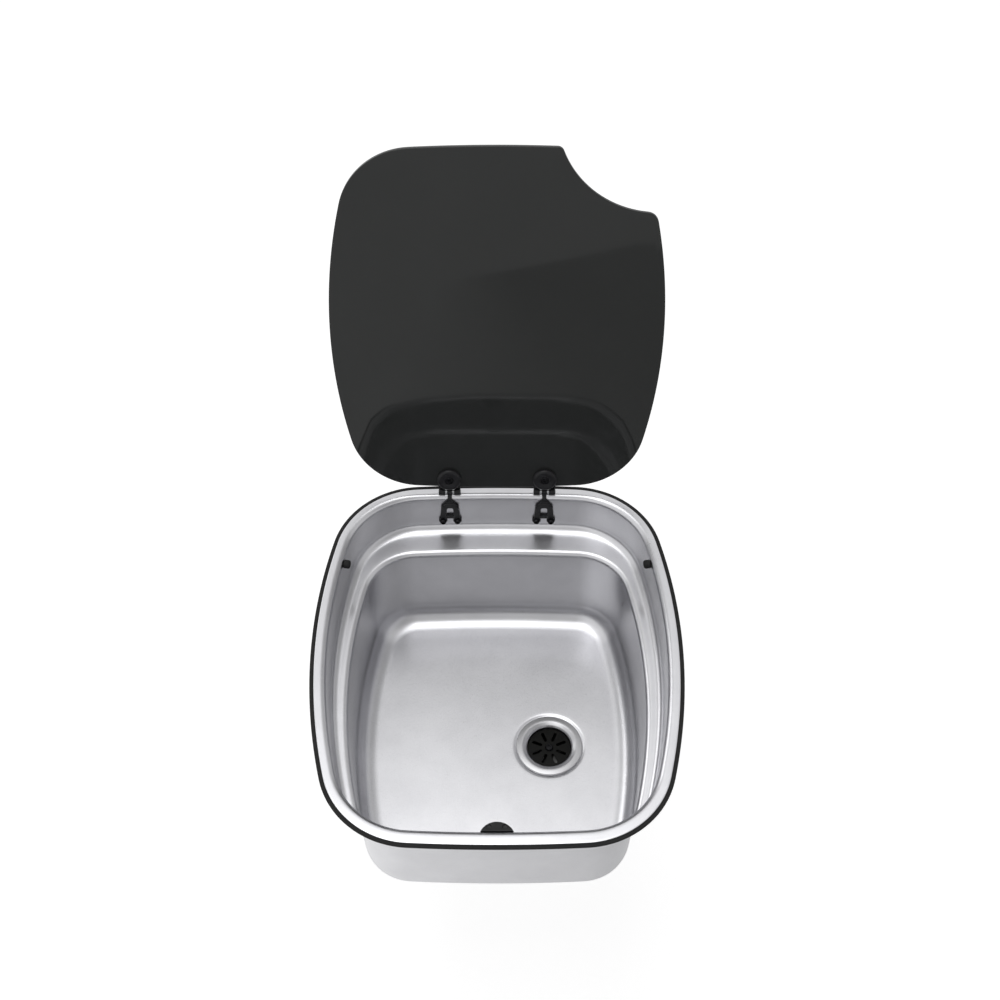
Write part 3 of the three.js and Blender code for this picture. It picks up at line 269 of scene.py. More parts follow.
class Plan:
    """An outline of shallow side and end arcs joined by corner arcs, and its parallel insets."""

    def __init__(self, width, front, back, side_radius, end_radius, corner_radius):
        self.centre_y = (front + back) / 2
        self.side_radius = side_radius
        self.end_radius = end_radius
        self.corner_radius = corner_radius
        self.side = (width / 2 - side_radius, 0)
        self.end = (0, (back - front) / 2 - end_radius)
        self.corner = circles_meet(
            self.end, end_radius - corner_radius, self.side, side_radius - corner_radius
        )
        self.side_angle = angle_from(self.side, self.corner)
        self.end_angle = angle_from(self.end, self.corner)

    def quarter(self, inset):
        side = arc_points(self.side, self.side_radius - inset, 0, self.side_angle, SIDE_STEPS)
        corner = arc_points(
            self.corner, self.corner_radius - inset, self.side_angle, self.end_angle, CORNER_STEPS
        )
        end = arc_points(self.end, self.end_radius - inset, self.end_angle, pi / 2, END_STEPS)
        return side[:-1] + corner[:-1] + end

    def outline(self, inset):
        """The whole outline, anticlockwise from above, from the middle of the right-hand side."""
        quarter = self.quarter(inset)
        back = quarter[:-1] + [(-x, y) for x, y in reversed(quarter[1:])]
        front = [(-x, -y) for x, y in back]
        return [(x, y + self.centre_y) for x, y in back + front]

    def back_y(self, inset, x):
        """How far behind the centre the back of an inset outline lies at x."""
        return self.end[1] + sqrt((self.end_radius - inset) ** 2 - x ** 2)


FRONT = -RIM_DEPTH / 2
BACK = RIM_DEPTH / 2
RIM_RADII = (RIM_SIDE_RADIUS, RIM_END_RADIUS, RIM_CORNER_RADIUS)
RIM = Plan(RIM_WIDTH, FRONT, BACK, *RIM_RADII)
RECESS = Plan(RIM_WIDTH, FRONT + FRONT_EXTRA, BACK, *RIM_RADII)
LID = Plan(RIM_WIDTH, FRONT, BACK - LID_BACK_EXTRA, *RIM_RADII)
BOWL = Plan(BOWL_WIDTH, BOWL_FRONT, BOWL_BACK, BOWL_SIDE_RADIUS, BOWL_END_RADIUS, BOWL_CORNER_RADIUS)
WALL_TOP_INSET = SHOULDER_INSET + SHOULDER_RADIUS
WALL_FOOT_INSET = WALL_TOP_INSET + RECESS_DRAFT
WALL_FOOT_Z = RECESS_FOOT_HEIGHT - RECESS_DEPTH
LEDGE_FRONT = FRONT_EXTRA + WALL_FOOT_INSET + RECESS_FOOT_FRONT
LEDGE_SIDE = WALL_FOOT_INSET + RECESS_FOOT_SIDE
LEDGE_BACK = WALL_FOOT_INSET + RECESS_FOOT_BACK
LEDGE = Plan(
    RIM_WIDTH - 2 * LEDGE_SIDE, FRONT + LEDGE_FRONT, BACK - LEDGE_BACK,
    RIM_SIDE_RADIUS - LEDGE_SIDE, RIM_END_RADIUS - LEDGE_BACK, LEDGE_CORNER_RADIUS,
)
DISH_FLOOR = -(BOWL_DEPTH + DISH_DEPTH)


def recess_inset(z):
    """The inset of the recess wall's inner face at a height."""
    top = RIM_TOP - SHOULDER_RADIUS
    return WALL_TOP_INSET + RECESS_DRAFT * (top - z) / (top - WALL_FOOT_Z)


def wall_back(z, x):
    return RECESS.centre_y + RECESS.back_y(recess_inset(z), x)


def wall_front(z, x):
    return RECESS.centre_y - RECESS.back_y(recess_inset(z), x)


# ---- Meshes ----

def add_object(name, data):
    made = bpy.data.objects.new(name, data)
    bpy.context.scene.collection.objects.link(made)
    return made


def mesh_piece(name, vertices, faces, material, matrix=Matrix(), sharp=35):
    """A piece from vertices in millimetres, with smooth faces and edges sharp past an angle."""
    mesh = bpy.data.meshes.new(name)
    place = Matrix.Scale(MM, 4) @ matrix
    mesh.from_pydata([place @ Vector(v) for v in vertices], [], faces)
    work = bmesh.new()
    work.from_mesh(mesh)
    bmesh.ops.remove_doubles(work, verts=work.verts, dist=1e-7)
    bmesh.ops.recalc_face_normals(work, faces=work.faces)
    work.to_mesh(mesh)
    work.free()
    finish_mesh(mesh, material, sharp)
    return add_object(name, mesh)


def finish_mesh(mesh, material, sharp):
    mesh.shade_smooth()
    mesh.set_sharp_from_angle(angle=radians(sharp))
    mesh.materials.clear()
    mesh.materials.append(material)


def grid_faces(rows, columns, close_rows):
    """Quads over a grid whose columns close on themselves, and whose rows may too."""
    faces = []
    for row in range(rows if close_rows else rows - 1):
        below = row * columns
        above = ((row + 1) % rows) * columns
        for i in range(columns):
            j = (i + 1) % columns
            faces.append((below + i, below + j, above + j, above + i))
    return faces


def ring_piece(name, rings, material, matrix=Matrix(), sharp=35):
    """A closed band through a loop of rings."""
    faces = grid_faces(len(rings), len(rings[0]), True)
    return mesh_piece(name, sum(rings, []), faces, material, matrix, sharp)


def loft_piece(name, rings, material, matrix=Matrix(), sharp=35):
    """A solid through a stack of rings, closed with a face at both ends."""
    count = len(rings[0])
    faces = grid_faces(len(rings), count, False)
    faces.append(tuple(reversed(range(count))))
    last = (len(rings) - 1) * count
    faces.append(tuple(range(last, last + count)))
    return mesh_piece(name, sum(rings, []), faces, material, matrix, sharp)


def rounded(profile, steps=4):
    """A closed outline. A corner's third value, where it has one, is the radius that rounds it.

    Nearly straight corners stay as they are.
    """
    points = []
    for i, corner in enumerate(profile):
        here = Vector(corner[:2])
        before = Vector(profile[i - 1][:2])
        after = Vector(profile[(i + 1) % len(profile)][:2])
        to_before = (before - here).normalized()
        to_after = (after - here).normalized()
        half = to_before.angle(to_after, pi) / 2
        if not any(corner[2:]) or half > radians(88):
            points.append(tuple(here))
            continue
        room = min((before - here).length, (after - here).length) * 0.49
        reach = min(corner[2] / tan(half), room)
        radius = reach * tan(half)
        bisector = (to_before + to_after).normalized()
        centre = here + bisector * (radius / sin(half))
        start = here + to_before * reach - centre
        end = here + to_after * reach - centre
        turn = start.angle_signed(end, 0)
        for k in range(steps + 1):
            points.append(tuple(centre + Matrix.Rotation(-turn * k / steps, 2) @ start))
    return points


ALONG = {
    "x": Matrix(((0, 0, 1), (1, 0, 0), (0, 1, 0))).to_4x4(),
    "y": Matrix(((1, 0, 0), (0, 0, 1), (0, 1, 0))).to_4x4(),
    "z": Matrix(),
}


def axis_matrix(axis, centre):
    """Places a shape drawn about Z so that it runs along an axis through a centre."""
    return Matrix.Translation(centre) @ ALONG[axis]


def turned_piece(name, profile, material, matrix=Matrix(), steps=TURN_STEPS, sharp=35, bend_steps=4):
    """A piece turned about Z. The profile's corners are radius, height and, where rounded, by what."""
    vertices = []
    loops = []
    for radius, height in rounded(profile, bend_steps):
        first = len(vertices)
        if radius < 1e-6:
            loops.append([first] * steps)
            vertices.append((0, 0, height))
        else:
            loops.append(range(first, first + steps))
            circle = arc_points((0, 0), radius, 0, 2 * pi, steps)[:-1]
            vertices += [(x, y, height) for x, y in circle]
    faces = []
    for low, high in zip(loops, loops[1:] + loops[:1]):
        for i in range(steps):
            j = (i + 1) % steps
            corners = tuple(dict.fromkeys((low[i], low[j], high[j], high[i])))
            if len(corners) > 2:
                faces.append(corners)
    return mesh_piece(name, vertices, faces, material, matrix, sharp)


def prism_piece(name, outline, start, end, material, matrix=Matrix(), sharp=35):
    low = [(u, v, start) for u, v in outline]
    high = [(u, v, end) for u, v in outline]
    return loft_piece(name, [low, high], material, matrix, sharp)


def bake_modifiers(piece):
    """Applies a piece's modifiers to its mesh."""
    bpy.context.view_layer.update()
    graph = bpy.context.evaluated_depsgraph_get()
    mesh = bpy.data.meshes.new_from_object(piece.evaluated_get(graph))
    old = piece.data
    piece.modifiers.clear()
    piece.data = mesh
    mesh.name = piece.name
    bpy.data.meshes.remove(old)


def remove_pieces(pieces):
    for piece in pieces:
        mesh = piece.data
        bpy.data.objects.remove(piece)
        bpy.data.meshes.remove(mesh)


def combine(piece, others, operation):
    """Joins other solids to a piece or cuts them out of it, and removes them."""
    for other in others:
        modifier = piece.modifiers.new("combine", "BOOLEAN")
        modifier.operation = operation
        modifier.solver = "EXACT"
        modifier.object = other
    bake_modifiers(piece)
    remove_pieces(others)


def moulded(piece, parts, material):
    """Fuses overlapping solids into one, with the soft inner and outer corners of a moulding."""
    work = bmesh.new()
    for part in (piece, *parts):
        work.from_mesh(part.data)
    remove_pieces(parts)
    work.to_mesh(piece.data)
    work.free()
    remesh = piece.modifiers.new("remesh", "REMESH")
    remesh.mode = "VOXEL"
    remesh.voxel_size = VOXEL * MM
    smooth = piece.modifiers.new("smooth", "SMOOTH")
    smooth.factor = 0.5
    smooth.iterations = SMOOTHING_ROUNDS
    bake_modifiers(piece)
    finish_mesh(piece.data, material, sharp=80)


def soften(piece, width, material, segments=3):
    """Rounds a piece's sharp edges."""
    bevel = piece.modifiers.new("bevel", "BEVEL")
    bevel.width = width * MM
    bevel.segments = segments
    bevel.limit_method = "ANGLE"
    bevel.angle_limit = radians(30)
    bevel.use_clamp_overlap = True
    bake_modifiers(piece)
    finish_mesh(piece.data, material, sharp=40)


# ---- Materials ----

NOISE_LOW = 0.3
NOISE_HIGH = 0.7


def node_material(name):
    material = bpy.data.materials.new(name)
    material.use_nodes = True
    return material, material.node_tree, material.node_tree.nodes["Principled BSDF"]


def add_node(tree, kind, **inputs):
    """A node whose inputs are set to values, or linked where they are given another node's output."""
    node = tree.nodes.new(kind)
    for name, value in inputs.items():
        target = node.inputs[name.replace("_", " ").title()]
        if isinstance(value, bpy.types.NodeSocket):
            tree.links.new(value, target)
        else:
            target.default_value = value
    return node


def texture_place(tree, scale=(1, 1, 1)):
    """Object coordinates, in metres, multiplied along each axis."""
    place = tree.nodes.new("ShaderNodeTexCoord").outputs["Object"]
    return add_node(tree, "ShaderNodeMapping", vector=place, scale=scale).outputs["Vector"]


def noise(tree, place, scale, detail=3.0, roughness=0.55):
    return add_node(
        tree, "ShaderNodeTexNoise", vector=place, scale=scale, detail=detail, roughness=roughness
    ).outputs["Fac"]


def value_range(tree, value, low, high, from_low=NOISE_LOW, from_high=NOISE_HIGH):
    return add_node(
        tree, "ShaderNodeMapRange", value=value, from_min=from_low, from_max=from_high,
        to_min=low, to_max=high,
    ).outputs["Result"]


def set_tone(tree, shader, value, dark, light):
    """A base colour that goes from dark to light with a noise."""
    ramp = add_node(tree, "ShaderNodeValToRGB", fac=value)
    first, last = ramp.color_ramp.elements
    first.position = NOISE_LOW
    first.color = (*dark, 1)
    last.position = NOISE_HIGH
    last.color = (*light, 1)
    tree.links.new(ramp.outputs["Color"], shader.inputs["Base Color"])


def set_roughness(tree, shader, value, low, high, *limits):
    tree.links.new(value_range(tree, value, low, high, *limits), shader.inputs["Roughness"])


def set_bump(tree, shader, height, strength, distance):
    node = add_node(tree, "ShaderNodeBump", height=height, strength=strength, distance=distance)
    tree.links.new(node.outputs["Normal"], shader.inputs["Normal"])


def satin_steel(name, dark, light, rough_low, rough_high, grain=0.02):
    """Drawn stainless steel: soft cloudy changes of tone and gloss, and a fine satin grain."""
    material, tree, shader = node_material(name)
    shader.inputs["Metallic"].default_value = 1.0
    cloud = noise(tree, texture_place(tree), 22, 4, 0.6)
    fine = noise(tree, texture_place(tree, (1, 0.16, 1)), 5200, 2, 0.5)
    set_tone(tree, shader, cloud, dark, light)
    set_roughness(tree, shader, fine, rough_low, rough_high, 0.25, 0.75)
    set_bump(tree, shader, fine, grain, 0.0002)
    return material


def moulded_plastic(name, dark, light, rough_low, rough_high, specular):
    """Black moulded plastic with a fine spark-eroded texture."""
    material, tree, shader = node_material(name)
    shader.inputs["Specular IOR Level"].default_value = specular
    place = texture_place(tree)
    cloud = noise(tree, place, 90)
    set_tone(tree, shader, cloud, dark, light)
    set_roughness(tree, shader, cloud, rough_low, rough_high)
    set_bump(tree, shader, noise(tree, place, 2600, 2), 0.12, 0.0001)
    return material


def soft_rubber(name, dark, light):
    """Matt rubber with a slight bloom."""
    material, tree, shader = node_material(name)
    shader.inputs["Specular IOR Level"].default_value = 0.3
    place = texture_place(tree)
    fine = noise(tree, place, 1800, 2)
    set_tone(tree, shader, noise(tree, place, 60, 4), dark, light)
    set_roughness(tree, shader, fine, 0.6, 0.8)
    set_bump(tree, shader, fine, 0.2, 0.0001)
    return material


def dark_glass(name, dark, light):
    """Dark tempered glass: a polished face with the faint roll of the tempering furnace."""
    material, tree, shader = node_material(name)
    shader.inputs["IOR"].default_value = 1.5
    shader.inputs["Specular IOR Level"].default_value = 0.25
    haze = noise(tree, texture_place(tree), 9, 5)
    set_tone(tree, shader, haze, dark, light)
    set_roughness(tree, shader, haze, 0.03, 0.06)
    set_bump(tree, shader, noise(tree, texture_place(tree, (1, 6, 6)), 3.5, 1), 0.02, 0.001)
    return material


def plated_steel(name, dark, light):
    """Plated fasteners: a metal with cloudy plating."""
    material, tree, shader = node_material(name)
    shader.inputs["Metallic"].default_value = 1.0
    cloud = noise(tree, texture_place(tree), 400)
    set_tone(tree, shader, cloud, dark, light)
    set_roughness(tree, shader, cloud, 0.28, 0.42)
    return material


steel = satin_steel("basin_steel", (0.60, 0.60, 0.62), (0.66, 0.66, 0.68), 0.26, 0.32, 0.012)
drain_steel = satin_steel("drain_steel", (0.42, 0.42, 0.43), (0.48, 0.48, 0.49), 0.26, 0.34)
plastic = moulded_plastic("black_plastic", (0.006, 0.006, 0.007), (0.010, 0.010, 0.012), 0.34, 0.44, 0.3)
drain_plastic = moulded_plastic(
    "drain_plastic", (0.004, 0.004, 0.0035), (0.007, 0.007, 0.006), 0.4, 0.5, 0.12
)
rubber = soft_rubber("black_rubber", (0.008, 0.008, 0.008), (0.014, 0.014, 0.014))
glass = dark_glass("dark_glass", (0.027, 0.0285, 0.028), (0.031, 0.0325, 0.032))
zinc = plated_steel("zinc_steel", (0.48, 0.49, 0.50), (0.62, 0.63, 0.64))
black_steel = plated_steel("black_steel", (0.012, 0.012, 0.013), (0.022, 0.022, 0.024))


# ---- Basin ----

def ring(plan, inset, z):
    return [(x, y, z) for x, y in plan.outline(inset)]


def bend(plan, inset, z, radius, start, end, steps=BEND_STEPS):
    """Rings round a bend. Angles are in the section: 0 points into the basin, a quarter turn up."""
    return [ring(plan, *point) for point in arc_points((inset, z), radius, start, end, steps)]


def recess_foot_rings(depth):
    """Rings round the fillet below the recess wall, which reaches in furthest at the back."""
    wall = ring(RECESS, WALL_FOOT_INSET - depth, WALL_FOOT_Z)
    ledge = ring(LEDGE, 0, WALL_FOOT_Z)
    rings = []
    for k in range(BEND_STEPS + 1):
        angle = pi / 2 * k / BEND_STEPS
        drop = (RECESS_FOOT_HEIGHT + depth) * sin(angle)
        reach = 1 - cos(angle)
        rings.append([
            (a[0] + (b[0] - a[0]) * reach, a[1] + (b[1] - a[1]) * reach, WALL_FOOT_Z - drop)
            for a, b in zip(wall, ledge)
        ])
    return rings


def between(first, second, steps):
    """Rings spaced evenly between two, without the two themselves."""
    pairs = [(Vector(a), Vector(b)) for a, b in zip(first, second)]
    return [[tuple(a.lerp(b, k / steps)) for a, b in pairs] for k in range(1, steps)]


def stretch(parts, steps):
    """Runs of rings joined by evenly spaced rings."""
    rings = list(parts[0])
    for part, count in zip(parts[1:], steps):
        rings += between(rings[-1], part[0], count) + list(part)
    return rings


def drain_ring(like, radius, z):
    """A circle round the waste, with a point in line with each point of another ring."""
    angles = [atan2(y - DRAIN_Y, x - DRAIN_X) for x, y, _ in like]
    return [(DRAIN_X + radius * cos(a), DRAIN_Y + radius * sin(a), z) for a in angles]


def dish_rings(like, depth):
    """Rings down the dished seat of the waste to its hole, on one face of the sheet."""
    slope_top = DISH_RADIUS + depth * DISH_FACE_SHIFT
    section = rounded([
        (DISH_RADIUS + DISH_LEAD, -BOWL_DEPTH - depth),
        (slope_top, -BOWL_DEPTH - depth, DISH_BEND),
        (slope_top - DISH_SLOPE, DISH_FLOOR - depth, DISH_BEND),
        (DRAIN_HOLE_RADIUS + SEAT, DISH_FLOOR - depth),
    ])
    return [drain_ring(like, radius, z) for radius, z in section]


def basin_face(depth):
    """Rings down one face of the sheet, from the rim to the waste hole."""
    quarter = pi / 2
    shoulder = bend(
        RECESS, SHOULDER_INSET, RIM_TOP - SHOULDER_RADIUS, SHOULDER_RADIUS - depth, quarter, 0
    )
    bowl_edge = bend(
        BOWL, -BOWL_EDGE_RADIUS, -RECESS_DEPTH - BOWL_EDGE_RADIUS, BOWL_EDGE_RADIUS - depth, quarter, 0
    )
    bowl_foot = bend(
        BOWL, BOWL_DRAFT + BOWL_FILLET, BOWL_FILLET - BOWL_DEPTH, BOWL_FILLET + depth,
        pi, pi + quarter,
    )
    dish = dish_rings(bowl_foot[-1], depth)
    recess_foot = recess_foot_rings(depth)
    return stretch([shoulder, recess_foot, bowl_edge, bowl_foot, dish], FACE_STEPS)


def make_basin():
    turn = SHEET / 2
    inset = GASKET_LIP_WIDTH + SEAT + turn
    rim_edge = bend(RIM, inset, RIM_TOP - turn, turn, pi * 1.5, pi / 2, RIM_EDGE_STEPS)
    upper = basin_face(0)
    lower = basin_face(SHEET)
    rings = rim_edge + between(rim_edge[-1], upper[0], RIM_FLAT_STEPS) + upper
    rings += list(reversed(lower)) + between(lower[0], rim_edge[0], RIM_FLAT_STEPS)
    basin = ring_piece("pressed_basin", rings, steel, sharp=50)
    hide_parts("basin")
    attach(basin, "root")


def make_gasket():
    section = rounded([
        (0, 0, 0.1),
        (GASKET_BEARING, 0, 0.3),
        (GASKET_BEARING, GASKET_THICKNESS, 0.3),
        (GASKET_LIP_WIDTH, GASKET_THICKNESS),
        (GASKET_LIP_WIDTH, RIM_TOP - SEAT, GASKET_ROUNDING),
        (0, RIM_TOP - SEAT, 0.7),
    ])
    gasket = ring_piece("rim_seal", [ring(RIM, inset, z) for inset, z in section], rubber)
    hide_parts("rim_gasket")
    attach(gasket, "root")


# ---- Lid ----

def tap_quarter():
    """The lid's right front quarter, from the front's middle to the side's middle."""
    tap = (TAP_CENTRE[0], LID.centre_y - TAP_CENTRE[1])
    side_radius = LID.side_radius - LID_INSET
    end_radius = LID.end_radius - LID_INSET
    end_rounding = circles_meet(
        tap, TAP_RADIUS + TAP_FRONT_ROUNDING, LID.end, end_radius - TAP_FRONT_ROUNDING
    )
    side_rounding = circles_meet(
        LID.side, side_radius - TAP_SIDE_ROUNDING, tap, TAP_RADIUS + TAP_SIDE_ROUNDING
    )
    end_tangent = angle_from(LID.end, end_rounding)
    side_tangent = angle_from(LID.side, side_rounding)
    from_end = angle_from(tap, end_rounding)
    from_side = angle_from(tap, side_rounding)
    arcs = (
        (LID.end, end_radius, pi / 2, end_tangent, END_STEPS),
        (end_rounding, TAP_FRONT_ROUNDING, end_tangent, from_end + pi, BEND_STEPS),
        (tap, TAP_RADIUS, from_end, from_side, CORNER_STEPS),
        (side_rounding, TAP_SIDE_ROUNDING, from_side + pi, side_tangent, BEND_STEPS),
        (LID.side, side_radius, side_tangent, 0, SIDE_STEPS),
    )
    points = arc_points(*arcs[0])
    for arc in arcs[1:]:
        points += arc_points(*arc)[1:]
    return [(x, LID.centre_y - y) for x, y in points]


def offset_inward(outline, distance):
    """An anticlockwise outline moved inwards along its corner normals."""
    moved = []
    for i, point in enumerate(outline):
        after = Vector(outline[(i + 1) % len(outline)])
        along = (after - Vector(outline[i - 1])).normalized()
        moved.append(tuple(Vector(point) + Vector((-along.y, along.x)) * distance))
    return moved


def make_glass():
    whole = LID.outline(LID_INSET)
    quarter = len(whole) // 4
    outline = whole[: quarter * 3 + 1] + tap_quarter()[1:-1]
    arris = arc_points((GLASS_ARRIS, GLASS_ARRIS), GLASS_ARRIS, -pi / 2, -pi, ARRIS_STEPS)
    section = arris + [(inset, GLASS_THICKNESS - z) for inset, z in reversed(arris)]
    rings = [[(x, y, z) for x, y in offset_inward(outline, inset)] for inset, z in section]
    lid = loft_piece("lid_glass", rings, glass, LID_OPEN, sharp=50)
    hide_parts("glass_lid")
    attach(lid, "lid")


# ---- Hinges ----

def link_outline(start, end, radius, steps=12):
    """A bar with round ends between two points."""
    angle = angle_from(start, end)
    return (
        arc_points(start, radius, angle + pi / 2, angle + pi * 1.5, steps)
        + arc_points(end, radius, angle - pi / 2, angle + pi / 2, steps)
    )


def disc_profile(radius, start, end, start_edge=0.0, end_edge=0.0):
    """Half the section of a solid disc or bar, with its own rounding at each end."""
    return [(0, start), (radius, start, start_edge), (radius, end, end_edge), (0, end)]


def bar_piece(name, axis, radius, start, end, centre, material, edge=0.0, matrix=Matrix()):
    """A round bar along an axis with rounded ends. The centre is a point on the axis."""
    profile = disc_profile(radius, start, end, edge, edge)
    return turned_piece(name, profile, material, matrix @ axis_matrix(axis, centre), SMALL_TURN_STEPS)


def socket(crown, radius, depth, rounding):
    """The start of a screw's profile: a socket sunk into its crown, from the axis outwards."""
    return [(0, crown + depth), (radius, crown + depth), (radius + SOCKET_TAPER, crown, rounding)]


def bracket_feet(centre_x):
    return [centre_x - FOOT_SPREAD / 2, centre_x + FOOT_SPREAD / 2]


def make_bracket(side, centre_x):
    """The A-shaped bracket on the recess wall, its neck over the shoulder, and its barrel."""
    face_top = wall_back(-BRACKET_TOP, centre_x) - SEAT
    face_foot = wall_back(-FOOT_DROP, centre_x) - SEAT
    lean = (face_foot - face_top) / (FOOT_DROP - BRACKET_TOP)
    on_wall = Matrix((
        (1, 0, 0, 0),
        (0, 1, -lean, face_top - lean * BRACKET_TOP),
        (0, 0, 1, 0),
        (0, 0, 0, 1),
    )) @ ALONG["y"]
    parts = []
    pad = disc_profile(FOOT_RADIUS, -BRACKET_THICKNESS, 0, FOOT_ROUNDING)
    feet = bracket_feet(centre_x)
    for sign, foot_x in zip((-1, 1), feet):
        apex = (centre_x + sign * (FLARE_WIDTH / 2 - LEG_RADIUS), -BRACKET_TOP - LEG_RADIUS)
        hip = (centre_x + sign * HIP_SPREAD / 2, -HIP_DROP)
        foot = (foot_x, -FOOT_DROP)
        for start, end in ((apex, hip), (hip, foot)):
            parts.append(prism_piece(
                "leg", link_outline(start, end, LEG_RADIUS), -BRACKET_THICKNESS, 0, plastic, on_wall
            ))
        at_foot = on_wall @ Matrix.Translation((*foot, 0))
        parts.append(turned_piece("pad", pad, plastic, at_foot, SMALL_TURN_STEPS))
    tie = link_outline((feet[0], -CROSSBAR_DROP), (feet[1], -CROSSBAR_DROP), CROSSBAR_HEIGHT / 2)
    parts.append(prism_piece("tie", tie, CROSSBAR_SETBACK - BRACKET_THICKNESS, 0, plastic, on_wall))
    web = [
        (centre_x - HIP_SPREAD / 2, -HIP_DROP),
        (centre_x + HIP_SPREAD / 2, -HIP_DROP),
        (centre_x + FLARE_WIDTH / 2, -BRACKET_TOP),
        (centre_x - FLARE_WIDTH / 2, -BRACKET_TOP),
    ]
    parts.append(prism_piece("web", web, -BRACKET_THICKNESS, 0, plastic, on_wall))

    shoulder = (RECESS.centre_y + RECESS.back_y(SHOULDER_INSET, centre_x), RIM_TOP - SHOULDER_RADIUS)
    toward_pivot = angle_from(shoulder, (PIVOT_Y, PIVOT_Z))
    foot_y = wall_back(-HIP_DROP, centre_x) - SEAT
    inner = SHOULDER_RADIUS + SEAT
    outer = inner + NECK_THICKNESS
    neck_side = [(foot_y, -HIP_DROP)]
    neck_side += arc_points(shoulder, inner, pi, toward_pivot, NECK_STEPS)
    neck_front = [(shoulder[0] - outer, -HIP_DROP)]
    neck_front += arc_points(shoulder, outer, pi, toward_pivot, NECK_STEPS)
    rings = []
    for back, front in zip(neck_side, neck_front):
        flare = min(max((FLARE_TOP - front[1]) / (FLARE_TOP + BRACKET_TOP), 0), 1)
        half = (NECK_WIDTH + (FLARE_WIDTH - NECK_WIDTH) * flare) / 2
        rings.append([
            (centre_x - half, *back), (centre_x + half, *back),
            (centre_x + half, *front), (centre_x - half, *front),
        ])
    parts.append(loft_piece("neck", rings, plastic))
    bracket = bar_piece(
        f"{side}_bracket", "x", BARREL_RADIUS, -BARREL_WIDTH / 2, BARREL_WIDTH / 2,
        (centre_x, PIVOT_Y, PIVOT_Z), plastic, edge=0.4,
    )
    moulded(bracket, parts, plastic)
    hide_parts(f"{side}_hinge_base")
    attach(bracket, "root")


def make_bracket_screws(side, centre_x):
    for index, x in enumerate(bracket_feet(centre_x), 1):
        wall = wall_back(-FOOT_DROP, x)
        seat = wall - SEAT * 3 - BRACKET_THICKNESS
        place = axis_matrix("y", (x, 0, -FOOT_DROP))
        tip = wall + SHEET + SEAT * 3 + NUT_HEIGHT
        crown = seat - BRACKET_HEAD_HEIGHT
        profile = socket(crown, *BRACKET_SOCKET) + [
            (BRACKET_HEAD_RADIUS * BRACKET_HEAD_FLAT, crown, 0.9),
            (BRACKET_HEAD_RADIUS, seat, 0.2),
            (BRACKET_SCREW_RADIUS, seat),
            (BRACKET_SCREW_RADIUS, tip, 0.3),
            (0, tip),
        ]
        screw = turned_piece(
            f"{side}_bracket_screw_{index}", profile, black_steel, place, SMALL_TURN_STEPS
        )
        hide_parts(f"{side}_hinge_screw_{index}")
        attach(screw, "root")

        start = wall + SHEET + SEAT * 2
        corners = arc_points((0, 0), NUT_RADIUS, 0, pi * 2, 6)[:-1]
        nut = prism_piece(f"{side}_bracket_nut_{index}", corners, start, start + NUT_HEIGHT, zinc, place)
        bore = bar_piece(
            "bore", "y", BRACKET_SCREW_RADIUS + SEAT, start - OVERCUT, start + NUT_HEIGHT + OVERCUT,
            (x, 0, -FOOT_DROP), zinc,
        )
        combine(nut, [bore], "DIFFERENCE")
        soften(nut, 0.35, zinc)
        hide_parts(f"{side}_hinge_nut_{index}")
        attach(nut, "root")


PAD_TOP = -SEAT
DISC_TOP = PAD_TOP - PAD_THICKNESS - SEAT
DISC_FOOT = DISC_TOP - CLAMP_DISC_THICKNESS
LEAF_FOOT = GLASS_THICKNESS + SEAT + PAD_THICKNESS + SEAT
LEAF_TOP = LEAF_FOOT + LEAF_THICKNESS


def make_clamp_disc(side, centre_x):
    """The disc on the bowl side of the glass, with a bevelled edge and a sunk screw."""
    place = LID_OPEN @ Matrix.Translation((centre_x, PIVOT_Y - CLAMP_SETBACK, 0))
    well = CLAMP_HEAD_RADIUS + SEAT
    profile = [
        (well, DISC_FOOT + CLAMP_MOUTH_RISE, 0.3),
        *[(CLAMP_RADIUS - inward, DISC_FOOT + up, edge) for inward, up, edge in CLAMP_BEVEL],
        (CLAMP_RADIUS, DISC_TOP, 0.2),
        (CLAMP_BORE_RADIUS, DISC_TOP, 0.1),
        (CLAMP_BORE_RADIUS, DISC_FOOT + CLAMP_WELL_DEPTH, 0.1),
        (well, DISC_FOOT + CLAMP_WELL_DEPTH, 0.1),
    ]
    disc = turned_piece(f"{side}_clamp_cap", profile, plastic, place)
    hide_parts(f"{side}_hinge_clamp_disc")
    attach(disc, "lid")

    crown = DISC_FOOT + CLAMP_HEAD_SUNK
    tip = LEAF_TOP - SEAT * 2
    profile = socket(crown, *CLAMP_SOCKET) + [
        (CLAMP_HEAD_RADIUS * CLAMP_HEAD_FLAT, crown, 0.4),
        (CLAMP_HEAD_RADIUS, crown + CLAMP_HEAD_BEVEL, 0.4),
        (CLAMP_HEAD_RADIUS, crown + CLAMP_HEAD_HEIGHT, 0.1),
        (CLAMP_SCREW_RADIUS, crown + CLAMP_HEAD_HEIGHT),
        (CLAMP_SCREW_RADIUS, tip, 0.2),
        (0, tip),
    ]
    screw = turned_piece(f"{side}_clamp_bolt", profile, black_steel, place, SMALL_TURN_STEPS)
    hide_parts(f"{side}_hinge_clamp_screw")
    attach(screw, "lid")


